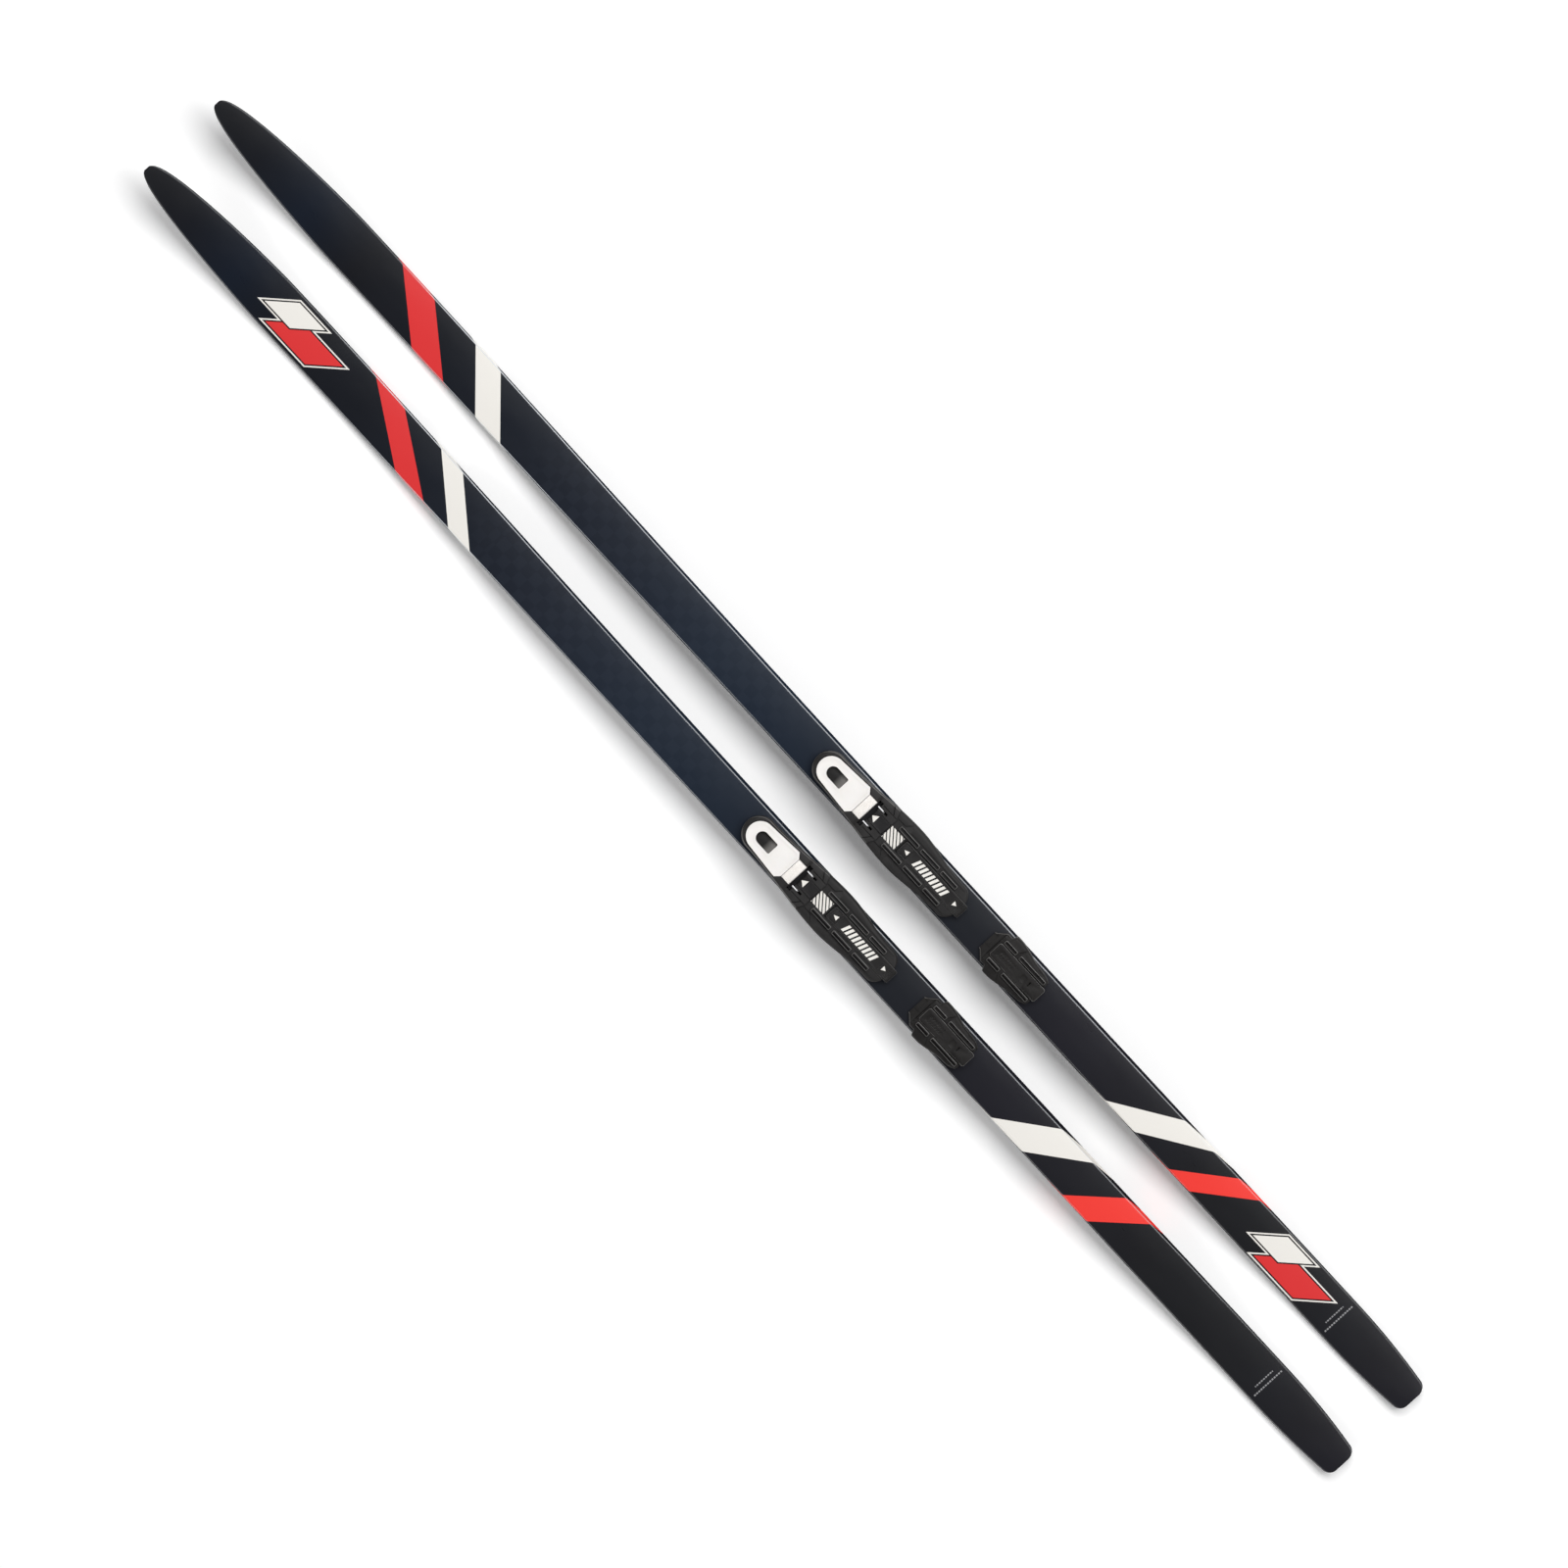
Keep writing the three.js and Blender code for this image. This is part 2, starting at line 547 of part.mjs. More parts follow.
/** Flat plate that is screwed to the ski and carries the toe binding. */
function mountingPlate() {
  const ends = [TOE_REAR + PLATE_INSET_REAR, TOE_FRONT - PLATE_INSET_FRONT];
  const outline = rounded(ends, [-PLATE_HALF, PLATE_HALF], PLATE_CORNER);
  return TOE_SCREWS.reduce(
    (rest, place) => rest.subtract(countersink(place, toeHeadZ(place))),
    plate(outline, PLATE_Z, PLATE_TOP));
}

/** Two rows of raised bars that guide the boot sole. */
function ridges(spans, z0, z1) {
  const bar = ([x0, x1], side) => {
    const y = side * RIDGE_Y;
    const outline = rounded([x0, x1], [y - RIDGE_WIDTH / 2, y + RIDGE_WIDTH / 2], RIDGE_CORNER);
    return plate(outline, z0, z1, 1);
  };
  return spans.flatMap((span) => [bar(span, 1), bar(span, -1)]).reduce((all, next) => all.add(next));
}

/** The rear part of the toe binding, which the ball of the foot stands on. */
function footplate() {
  const body = plate(mirrored(TOE_XS, toeHalf), FOOT_Z, FOOT_TOP)
    .add(skirts(TOE_XS, toeHalf, FOOT_Z))
    .add(ridges(TOE_RIDGES, FOOT_TOP - RIDGE_ROOT, RIDGE_TOP))
    .subtract(aheadOfSeam(-FIT / 2))
    .subtract(box([TOE_REAR - CUT, SLIDER_FRONT + SLIDER_STOP],
      [-SLIDER_HALF - FIT, SLIDER_HALF + FIT], [CHANNEL_Z, OPEN_Z]));
  return TOE_SCREWS.slice(0, 2).reduce(
    (rest, place) => rest.subtract(countersink(place, toeHeadZ(place))), body);
}

/** The slider in the middle of the footplate, pulled back to move the binding along its plate. */
function centerSlider() {
  const outline = rounded([SLIDER_REAR, SLIDER_FRONT], [-SLIDER_HALF, SLIDER_HALF], SLIDER_CORNER);
  const floor = CHANNEL_Z + SLIDER_PLAY;
  return sideways([
    [SLIDER_REAR, CHANNEL_Z + SLIDER_UNDERCUT[1]], [SLIDER_REAR + SLIDER_UNDERCUT[0], floor],
    [SLIDER_FRONT, floor], [SLIDER_FRONT, SLIDER_TOP], [SLIDER_REAR + SLIDER_RAMP[0], SLIDER_TOP],
    [SLIDER_REAR, SLIDER_TOP - SLIDER_RAMP[1]]], REACH)
    .intersect(plate(outline, CHANNEL_Z, OPEN_Z, 2));
}

/** Plan of the lever, with its neck behind and its round front. */
function leverOutline(grow = 0) {
  const shape = new THREE.Shape();
  const centre = LEVER_FRONT - LEVER_NOSE;
  shape.moveTo(LEVER_REAR - grow, -FLEXOR_HALF - grow);
  shape.lineTo(LEVER_SHOULDER, -LEVER_HALF - grow);
  shape.absarc(centre, 0, LEVER_NOSE + grow, -Math.PI / 2, Math.PI / 2);
  shape.lineTo(LEVER_SHOULDER, LEVER_HALF + grow);
  shape.lineTo(LEVER_REAR - grow, FLEXOR_HALF + grow);
  return shape;
}

/** Plan of the lever's window: square behind, round in front. */
function windowOutline(grow = 0) {
  const shape = new THREE.Shape();
  const half = WINDOW_HALF + grow;
  const centre = WINDOW_FRONT - WINDOW_HALF;
  shape.moveTo(WINDOW_REAR - grow, -half);
  shape.lineTo(centre, -half);
  shape.absarc(centre, 0, half, -Math.PI / 2, Math.PI / 2);
  shape.lineTo(WINDOW_REAR - grow, half);
  return shape;
}

/** Front housing: side walls, lever bay, toe-bar pocket and the slots for the hook's claws. */
function toeHousing() {
  const sideView = sideways(
    [[HOUSING_TOP.at(-1)[0], FOOT_Z], [HOUSING_TOP[0][0], FOOT_Z], ...HOUSING_TOP], REACH);
  const webHalf = CLAW_Y + CLAW_SLOT_HALF;
  const webBay = box(HOOK_BAY, [-webHalf, webHalf], HOOK_BAY_Z);
  const slot = (y) =>
    box(HOOK_BAY, [y - CLAW_SLOT_HALF, y + CLAW_SLOT_HALF], [HOOK_BAY_Z[0], OPEN_Z]);
  const flexorHalf = FLEXOR_HALF + FLEXOR_PLAY;
  const body = plate(mirrored(TOE_XS, toeHalf), FOOT_Z, OPEN_Z)
    .intersect(sideView)
    .add(skirts(TOE_XS, toeHalf, FOOT_Z))
    .intersect(aheadOfSeam(FIT / 2))
    .subtract(plate(leverOutline(LEVER_PLAY), LEVER_BAY_Z, OPEN_Z))
    .subtract(box([FLEXOR_REAR - FLEXOR_PLAY, LEVER_REAR], [-flexorHalf, flexorHalf], [POCKET_Z, OPEN_Z]))
    .subtract(box([POCKET_REAR, FLEXOR_REAR], [-POCKET_HALF, POCKET_HALF], [POCKET_Z, OPEN_Z]))
    .subtract(webBay)
    .subtract(slot(CLAW_Y))
    .subtract(slot(-CLAW_Y))
    .subtract(box([TAB_REAR - TAB_PLAY, POCKET_REAR + CUT], [-TAB_HALF - FIT, TAB_HALF + FIT],
      [TAB_Z - TAB_TRAVEL, OPEN_Z]))
    .subtract(crossBar(LEVER_PIN, LEVER_PIN_RADIUS + FIT, LEVER_PIN_HALF + FIT))
    .subtract(crossBar(HOOK_PIN, HOOK_PIN_RADIUS + FIT, HOOK_PIN_HALF + FIT, THIN_SIDES));
  return TOE_SCREWS.slice(2).reduce(
    (rest, place) => rest.subtract(countersink(place, toeHeadZ(place))), body);
}

/** Sprung catch that is pressed down to free the slider. */
const lockTab = () => box([TAB_REAR, TAB_FRONT], [-TAB_HALF, TAB_HALF], [TAB_Z, TAB_TOP]);

/** White release lever that the pole tip pushes down at its window. */
function releaseLever() {
  const [px] = LEVER_PIN;
  const [bayReach, bayHalf, bayTop] = SPRING_BAY;
  return plate(leverOutline(), LEVER_BAY_Z, OPEN_Z, 6)
    .intersect(sideways([...LEVER_UNDER, ...LEVER_TOP], REACH))
    .subtract(plate(windowOutline(), LEVER_BAY_Z, OPEN_Z, 3))
    .subtract(crossBar(LEVER_PIN, LEVER_BORE, REACH))
    .subtract(box([px - bayReach, px + bayReach], [-bayHalf, bayHalf], [LEVER_BAY_Z, bayTop]));
}

/** Dark cup under the window that catches the pole tip. */
const leverInsert = () => plate(windowOutline(-FIT), ...INSERT_Z, 3)
  .add(plate(windowOutline(INSERT_RIM), ...INSERT_RIM_Z, 3));

/** Torsion spring round the lever pin, with one leg down to the floor of the bay. */
function leverSpring() {
  const [px, pz] = LEVER_PIN;
  const perTurn = 8;
  const count = Math.round(SPRING_TURNS * perTurn);
  const points = steps(0, 1, count).map((t) => {
    const angle = t * SPRING_TURNS * 2 * Math.PI;
    return new THREE.Vector3(
      px + SPRING_RADIUS * Math.sin(angle),
      mix(-SPRING_HALF, SPRING_HALF, t),
      pz + SPRING_RADIUS * Math.cos(angle));
  });
  const end = points.at(-1);
  for (const [x, z] of SPRING_LEG) {
    points.push(new THREE.Vector3(end.x + x, end.y, LEVER_BAY_Z + z));
  }
  const path = new THREE.CatmullRomCurve3(points);
  const wire = new THREE.Shape().absarc(0, 0, SPRING_WIRE, 0, 2 * Math.PI);
  return solid(new THREE.ExtrudeGeometry(wire, {
    steps: count + 6, extrudePath: path, curveSegments: 2, bevelEnabled: false }));
}

/** Ribbed rubber block that the boot's toe rolls against. */
const flexor = () => sideways([
  [FLEXOR_REAR, FLEXOR_Z], [FLEXOR_FRONT, FLEXOR_Z], [FLEXOR_FRONT, FLEXOR_TOP],
  ...FLEXOR_FACE.map(([x, z]) => [FLEXOR_REAR + x, z])], FLEXOR_HALF);

/** Steel saddle under the toe bar and the flexor, with a lug at each side. */
function barBracket() {
  const low = POCKET_Z + REST;
  const front = FLEXOR_REAR - BRACKET_GAP;
  const [inner, outer] = BRACKET_ARM;
  const outline = [[BRACKET_REAR, low], [front, low], ...LUG_TOP];
  const lug = (y) => sideways(outline, LUG_HALF).translate(0, y, 0);
  const arm = (y0, y1) => box([BRACKET_REAR, front], [y0, y1], [low, BRACKET_TOP]);
  return box([BRACKET_REAR, BRACKET_FRONT], [-FLEXOR_HALF, FLEXOR_HALF], [low, BRACKET_TOP])
    .add(arm(inner, outer))
    .add(arm(-outer, -inner))
    .add(lug(LUG_Y))
    .add(lug(-LUG_Y));
}

/** Steel hook: two claws that close over the toe bar, joined by a web round their pin. */
function toeBarHook() {
  const [px, pz] = HOOK_PIN;
  const [webReach, webLow, webHigh] = HOOK_WEB;
  const claw = sideways(CLAW_OUTLINE.map(([x, z]) => [px + x, pz + z]), CLAW_HALF);
  return box([px - webReach, px + webReach], [-CLAW_Y, CLAW_Y], [pz + webLow, pz + webHigh])
    .add(claw.translate(0, CLAW_Y, 0))
    .add(claw.translate(0, -CLAW_Y, 0))
    .subtract(crossBar(HOOK_PIN, HOOK_BORE, REACH, THIN_SIDES));
}

// ---------------------------------------------------------------- heel plate

/** Half width of the heel plate's outline. */
function heelHalf(x) {
  const along = ([x0, x1]) => (x - x0) / (x1 - x0);
  const toRear = 1 - clamp01((x - HEEL_REAR) / HEEL_REAR_ROUND);
  const rear = mix(HEEL_REAR_HALF, HEEL_NARROW, Math.sqrt(1 - toRear ** 2));
  const flare = smooth(along(HEEL_FLARE)) * (1 - smooth(along(HEEL_FLARE_END)));
  const lip = clamp01((x - HEEL_PAD_FRONT) / HEEL_LIP_TAPER);
  return rear + (HEEL_WIDE - HEEL_NARROW) * flare - HEEL_LIP_INSET * lip;
}

const HEEL_XS = [
  ...crowded(HEEL_REAR, HEEL_REAR + HEEL_REAR_ROUND, 3),
  ...steps(...HEEL_FLARE, 3).slice(1),
  ...steps(...HEEL_FLARE_END, 2),
  HEEL_PAD_FRONT, HEEL_PAD_FRONT + HEEL_LIP_TAPER, HEEL_LIP_FRONT];

/** Lower half of the heel plate, screwed to the ski, with the front lip. */
function heelBase() {
  const body = plate(mirrored(HEEL_XS, heelHalf), PLATE_Z, HEEL_TOP)
    .add(skirts(HEEL_XS, heelHalf, PLATE_Z));
  return HEEL_SCREWS.reduce((rest, place) => rest.subtract(countersink(place, heelHeadZ)), body);
}

/** Upper half of the heel plate, with its two rows of ridges. */
function heelPad() {
  const xs = HEEL_XS.filter((x) => x <= HEEL_PAD_FRONT);
  const coverHalf = HEEL_COVER_HALF + FIT;
  return plate(mirrored(xs, (x) => heelHalf(x) - HEEL_PAD_INSET), HEEL_TOP + REST, HEEL_PAD_TOP)
    .add(ridges(HEEL_RIDGES, HEEL_PAD_TOP - RIDGE_ROOT, HEEL_RIDGE_TOP))
    .subtract(box([HEEL_REAR - CUT, HEEL_COVER_FRONT + FIT], [-coverHalf, coverHalf],
      [HEEL_TOP - CUT, OPEN_Z]));
}

/** Cover strip along the middle of the heel plate, over its screws. */
const heelCover = () => plate(
  rounded([HEEL_COVER_REAR, HEEL_COVER_FRONT], [-HEEL_COVER_HALF, HEEL_COVER_HALF], HEEL_COVER_CORNER),
  HEEL_TOP + REST, HEEL_COVER_TOP, 2);

// ---------------------------------------------------------------- assembly

const PIECES = [
  ['base_sole', baseSole, 'base'],
  ['lower_laminate', lowerLaminate, 'laminate'],
  ['core', core, 'wood'],
  ['tip_spacer', () => spacer(CORE_FRONT + FIT, INSIDE_FRONT - END_STEP), 'spacer'],
  ['tail_spacer', () => spacer(INSIDE_REAR + END_STEP, CORE_REAR - FIT), 'spacer'],
  ['upper_laminate', upperLaminate, 'laminate'],
  ['cap', cap, 'topsheet'],
  ['mounting_plate', mountingPlate, 'black'],
  ['footplate', footplate, 'black'],
  ['toe_housing', toeHousing, 'black'],
  ['center_slider', centerSlider, 'black'],
  ['lock_tab', lockTab, 'black'],
  ['release_lever', releaseLever, 'white'],
  ['lever_insert', leverInsert, 'black'],
  ['lever_pin', () => crossBar(LEVER_PIN, LEVER_PIN_RADIUS, LEVER_PIN_HALF), 'steel'],
  ['lever_spring', leverSpring, 'steel'],
  ['flexor', flexor, 'rubber'],
  ['bar_bracket', barBracket, 'steel'],
  ['toe_bar_hook', toeBarHook, 'steel'],
  ['hook_pin', () => crossBar(HOOK_PIN, HOOK_PIN_RADIUS, HOOK_PIN_HALF, THIN_SIDES), 'steel'],
  ...TOE_SCREWS.map((place, i) => [`toe_screw_${i + 1}`, () => screw(place, toeHeadZ(place)), 'steel']),
  ['heel_base', heelBase, 'black'],
  ['heel_pad', heelPad, 'black'],
  ['heel_cover', heelCover, 'black'],
  ...HEEL_SCREWS.map((place, i) => [`heel_screw_${i + 1}`, () => screw(place, heelHeadZ), 'steel']),
];

/** The three.js geometry of a finished manifold body. */
function geometryOf(body) {
  const { vertProperties, triVerts } = body.getMesh();
  const geometry = new THREE.BufferGeometry();
  geometry.setAttribute('position', new THREE.Float32BufferAttribute(vertProperties, 3));
  geometry.setIndex(new THREE.Uint32BufferAttribute(triVerts, 1));
  geometry.computeVertexNormals();
  return geometry;
}

const GEOMETRIES = PIECES.map(([name, make, material]) => [name, geometryOf(make()), material]);

/** One ski with its binding, made of the shared geometries. */
function ski(side, y) {
  const group = new THREE.Group();
  group.position.y = y;
  for (const [name, geometry, material] of GEOMETRIES) {
    const mesh = new THREE.Mesh(geometry, MATERIALS[material]);
    mesh.name = `${side}_${name}`;
    group.add(mesh);
  }
  return group;
}

const pair = new THREE.Group();
pair.add(ski('left', SKI_SPACING / 2), ski('right', -SKI_SPACING / 2));

export default pair;
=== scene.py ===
"""The look of a pair of cross-country skis with step-in bindings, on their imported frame.

Shapes are made in millimetres about one ski's own axis (x to the tip, y to the skier's left, z up)
and then set on both skis, so a print's place is the same in the mesh and in its material.
"""

import math

import bmesh
import bpy
from mathutils import Matrix, Vector


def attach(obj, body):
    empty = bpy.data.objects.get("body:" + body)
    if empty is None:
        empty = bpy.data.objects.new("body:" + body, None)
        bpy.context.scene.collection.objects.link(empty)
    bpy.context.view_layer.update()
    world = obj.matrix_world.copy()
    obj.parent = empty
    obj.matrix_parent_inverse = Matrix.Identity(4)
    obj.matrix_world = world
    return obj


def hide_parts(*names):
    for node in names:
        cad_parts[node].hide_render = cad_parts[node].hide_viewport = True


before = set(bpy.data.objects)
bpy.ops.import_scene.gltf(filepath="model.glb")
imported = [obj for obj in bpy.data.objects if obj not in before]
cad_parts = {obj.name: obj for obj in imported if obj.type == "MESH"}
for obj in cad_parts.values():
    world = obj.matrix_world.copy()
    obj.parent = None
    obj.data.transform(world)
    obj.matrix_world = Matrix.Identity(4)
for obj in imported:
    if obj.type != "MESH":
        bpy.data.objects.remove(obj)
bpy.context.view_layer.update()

MM = 0.001
SIDES = {"left": 50.0, "right": -50.0}  # each ski's axis, in mm from the middle of the pair

# ---- the ski's dimensions, in mm

HALF_LENGTH = 920
WAIST_WIDTH = 49.5
TAIL_WIDTH = 51
SHOVEL_WIDTH = 55
WAIST_X = -60
TAIL_WIDE_X = -740
SHOVEL_WIDE_X = 690
TIP_TAPER = 190
TIP_BLUNT = 0.4
TIP_CURVE = (1.4, 0.36)  # powers of the curve that the point follows
TAIL_TAPER = 110
TAIL_STRAIGHT = 10
TAIL_NECK = 5.9
TAIL_CORNER = 8.5

CAMBER = 22
CAMBER_CURVE = (3, 2)  # powers of the arch between the two contacts
CONTACT_FRONT = 640
CONTACT_REAR = -840
TIP_RISE = 56
TIP_BEND = 2.4
TAIL_RISE = 8
TAIL_BEND = 1.8
DECK_Z = 44
DECK_REAR = -350
DECK_FRONT = 10
THIN_FRONT = 570
THIN_REAR = -800
END_THICKNESS = 8
TIP_THICKNESS = 6.4

BASE_THICKNESS = 1.3
SHELL_TOP = 0.9
SHELL_SIDE = 1.8
SIDE_SLOPE = 0.075
EDGE_ROUND = 1.5
SLENDER_HALF = 12  # narrower than this, the walls and edges shrink with the ski
WALL_FOOT = (0.04, 0.2)  # bevel at the foot of the side wall
HOLLOW_RUN = 4  # length over which the cap's hollow opens
HOLLOW_LEAST = (0.5, 0.4)  # its least half width, low and high, as a share of the ski's
HOLLOW_SLIT = 0.02  # its height where it is shut
GLUE = 0.06
INSIDE_REAR = -906
INSIDE_FRONT = 898
GROOVE_HALF = 1.5
GROOVE_DEPTH = 0.6
GROOVE_RUN = 6
GROOVE_REAR = -832
GROOVE_FRONT = 632

# ---- the binding's dimensions, in mm

FIT = 0.3
CUT = 1  # how far a cutter is carried past the face that it opens
REACH = 40  # half width of a cutter that spans the whole binding
OPEN_Z = 70  # top of a cutter that is open above the binding
PLATE_Z = 44.05
FOOT_Z = 47.05
FOOT_TOP = 53
RIDGE_TOP = 57
CHANNEL_Z = 49.4
SKIRT_Z = 41
SKIRT_INNER = 23.8
SKIRT_ROOT = 0.4  # how far the skirts reach up into their moulding
TOE_REAR = -219.7
TOE_FRONT = -2.5
TOE_REAR_ROUND = 14  # length of the rounded rear end
TOE_REAR_INSET = 9.5
TOE_NARROW = 20.5
TOE_WIDE = 26.95
TOE_WIDE_X = -135
TOE_FLARE_X = -200
NOSE_X = -21.5
NOSE_HALF = 19.2
NOSE_BLUNT = 0.999  # under 1, so that the round front keeps a short flat
SEAM_X = -108
SEAM_HALF = 15
SEAM_RAKE = 11
RIDGE_Y = 12.7
RIDGE_WIDTH = 4.6
RIDGE_CORNER = 1.2
RIDGE_RIM = 1.1
RIDGE_ROOT = 0.5  # how deep the ridges are sunk in their plate
RIDGE_SLOT = (12.2, 14.4)  # across the ski
RIDGE_SLOT_DEPTH = 3.4
TOE_RIDGES = [(-202, -179), (-175, -148), (-144, -116)]

SLIDER_HALF = 8.15
SLIDER_REAR = -225.4
SLIDER_FRONT = -131.4
SLIDER_TOP = FOOT_TOP + 0.9
SLIDER_STOP = 1.8  # gap ahead of the slider
TAB_HALF = 7.15
TAB_REAR = -107.4
TAB_FRONT = -87
TAB_Z = 55
TAB_TOP = RIDGE_TOP + 0.3
TAB_TRAVEL = 1.8  # room under the tab
TAB_PLAY = 0.4
SCREW_HOLE = 4.2  # radius
TOE_SCREWS = [(-200, 0), (-145, 0), (-30, 9), (-30, -9)]

POCKET_REAR = -86.3
POCKET_HALF = 17
POCKET_Z = 48.3
FLEXOR_REAR = -81.1
FLEXOR_FRONT = -69.5
FLEXOR_HALF = 12.9
FLEXOR_PLAY = 0.4
FLEXOR_TOP = 60.3
LEVER_REAR = -69
LEVER_SHOULDER = -64
LEVER_HALF = 18.4
LEVER_NOSE = 15.4
LEVER_FRONT = -8.4
LEVER_PIN = (-60, 56.5)
LEVER_PIN_RADIUS = 1.75
LEVER_PIN_HALF = 20.5
LEVER_BORE = 2.1  # radius, for the pin
LEVER_PLAY = 0.6  # between the lever and its bay
LEVER_BAY_Z = 50
LEVER_RIM = 3.4  # width of the rim round its dished top
SPRING_BAY = (7, 6.2, 60.4)  # half length, half width and top, in the lever
WINDOW_REAR = -43.2
WINDOW_FRONT = -19.8
WINDOW_HALF = 7.2
WINDOW_CORNER = 1.6
HOOK_PIN = (-91, 50.5)
HOOK_PIN_HALF = 15
HOOK_BORE = 1.45  # radius, for the pin
HOOK_BAY = (-97.5, -84.5)
HOOK_BAY_Z = (47.8, 54)
CLAW_Y = 11
CLAW_HALF = 0.65
CLAW_SLOT_HALF = 1.2

HEEL_REAR = -340
HEEL_TOP = 48.5
HEEL_SPLIT = HEEL_TOP + 0.05
HEEL_PAD_TOP = 53
HEEL_PAD_FRONT = -274
HEEL_LIP_FRONT = -263.5
HEEL_WIDE = 26.2
HEEL_HALF = 20.5
HEEL_INSET = 5.5  # how much narrower its rear end is
HEEL_ROUND = 18  # the length that takes
HEEL_FLARE = (-324, -289)
HEEL_NECK = (-283.5, -280)
HEEL_LIP_INSET = 8.5
HEEL_LIP_RUN = 9.3
HEEL_SCREWS = [(-325, 0), (-290, 0)]
HEEL_COVER_HALF = 9
HEEL_COVER_REAR = -343.5
HEEL_COVER_FRONT = -275.2
HEEL_RIDGES = [(-337.6, -299.7), (-295, -277.5)]

# ---- prints on the topsheet, in mm

# colour, where it meets the ski's axis, and how far it leans forward for each mm to the left
STRIPES = {
    "left": [
        ("red_rear", -574.3, -536.7, 1.017),
        ("white", -480.5, -432.2, 1.278),
        ("white", 433.1, 466.9, -1.306),
        ("red_front", 514.6, 559.0, -1.667),
    ],
    "right": [
        ("red_rear", -628.5, -596.8, 1.214),
        ("white", -550.8, -506.1, 1.539),
        ("white", 489.4, 528.3, -1.075),
        ("red_front", 585.2, 634.3, -1.344),
    ],
}
WRAPPED_Y = "wrapped_y"  # place across the topsheet as if its side walls were folded out flat
EMBLEM_X = {"left": 686.0, "right": -733.0}
EMBLEM_LEAN = 1.05
# middle along the ski, length, and reach across it, of the emblem's two tiles
EMBLEM_TILES = [("red_front", -14.0, 61.0, -7.5, 20.0), ("white", 28.0, 39.0, -19.5, 6.0)]
EMBLEM_GAP = 1.5
EMBLEM_LINE = 1.5
SIZE_MARKS = [(-806.2, -804.6, 19.5), (-799.8, -798.4, 12.5)]  # rear, front, half length
SIZE_MARK_START = -60
SIZE_MARK_PITCH = 3.1
SIZE_MARK_SHARE = 0.68

# ---- the camera and its aim

LENS = 200.0
SENSOR = 36.0
VIEW_WIDTH = 1.6370  # of the picture, at the skis, in metres
VIEW_TURN = math.radians(-132.6)  # about the line of sight
VIEW_TILT = math.radians(3.0)  # towards the right ski
VIEW_REACH = 60
VIEW_AIM = Vector((-0.0006, -0.0029, 0.030))


def added(name, data):
    """A new object in the scene."""
    thing = bpy.data.objects.new(name, data)
    bpy.context.scene.collection.objects.link(thing)
    return thing


def make_camera():
    data = bpy.data.cameras.new("camera")
    data.lens = LENS
    data.sensor_width = SENSOR
    data.clip_end = VIEW_REACH
    camera = added("camera", data)
    back = Matrix.Translation((0, 0, VIEW_WIDTH * LENS / SENSOR))
    turn = Matrix.Rotation(VIEW_TURN, 4, "Z")
    tilt = Matrix.Rotation(VIEW_TILT, 4, "X")
    camera.matrix_world = Matrix.Translation(VIEW_AIM) @ tilt @ back @ turn
    bpy.context.scene.camera = camera


# ---- numbers


def clamp01(v):
    return min(1.0, max(0.0, v))


def smooth(v):
    return clamp01(v) ** 2 * (3 - 2 * clamp01(v))


def rise(x, start, end):
    """From 0 at start to 1 at end, smooth at both."""
    return smooth((x - start) / (end - start))


def mix(a, b, w):
    return a + (b - a) * w


def steps(a, b, count):
    """Evenly spaced values from a to b, both included."""
    return [mix(a, b, i / count) for i in range(count + 1)]


def crowded(a, b, count):
    """Values from a to b that crowd together at a, for a rounded end."""
    return [mix(a, b, 1 - math.cos(i / count * math.pi / 2)) for i in range(count + 1)]


def merged(*runs):
    """One rising list of all the values, without repeats."""
    values = sorted(v for run in runs for v in run)
    return [v for i, v in enumerate(values) if i == 0 or v - values[i - 1] > 0.01]


def arc(centre, radius, start, end, count):
    """Points on a circle, angles in degrees."""
    angles = [math.radians(a) for a in steps(start, end, count)]
    return [(centre[0] + radius * math.cos(a), centre[1] + radius * math.sin(a)) for a in angles]


# ---- mesh helpers, all in mm

FACES, EASED_EDGES = 0, 1  # a working mesh's two places for a material
DETAIL_ANGLE = 40  # edges sharper than this are eased once the details are cut


def solid(verts, faces):
    """A working object from points and faces, with its faces turned outwards."""
    mesh = bpy.data.meshes.new("work")
    mesh.from_pydata(verts, [], faces)
    work = bmesh.new()
    work.from_mesh(mesh)
    bmesh.ops.recalc_face_normals(work, faces=work.faces)
    work.to_mesh(mesh)
    work.free()
    for _ in (FACES, EASED_EDGES):
        mesh.materials.append(None)
    return added("work", mesh)


def skin(loops):
    """The closed body through loops of as many points each."""
    count = len(loops[0])
    faces = [(i + j, i + (j + 1) % count, i + (j + 1) % count + count, i + j + count)
             for i in range(0, (len(loops) - 1) * count, count) for j in range(count)]
    last = (len(loops) - 1) * count
    ends = [tuple(range(count)), tuple(range(last, last + count))]
    return solid([point for loop in loops for point in loop], [*faces, *ends])


def loft(xs, loop_at):
    """The body through one loop of (y, z) points at each x."""
    return skin([[(x, y, z) for y, z in loop_at(x)] for x in xs])


def plate(outline, z0, z1):
    """An outline in x and y, raised from z0 to z1."""
    return skin([[(x, y, z) for x, y in outline] for z in (z0, z1)])


def sideways(outline, y0, y1=None):
    """An outline in x and z, run across the ski from y0 to y1, or from -y0 to y0."""
    ends = (-y0, y0) if y1 is None else (y0, y1)
    return skin([[(x, y, z) for x, z in outline] for y in ends])


def box(x, y, z):
    return plate([(x[0], y[0]), (x[1], y[0]), (x[1], y[1]), (x[0], y[1])], *z)


def cross_bar(centre, radius, half, count=40):
    return sideways(arc(centre, radius, 0, 360 - 360 / count, count - 1), half)


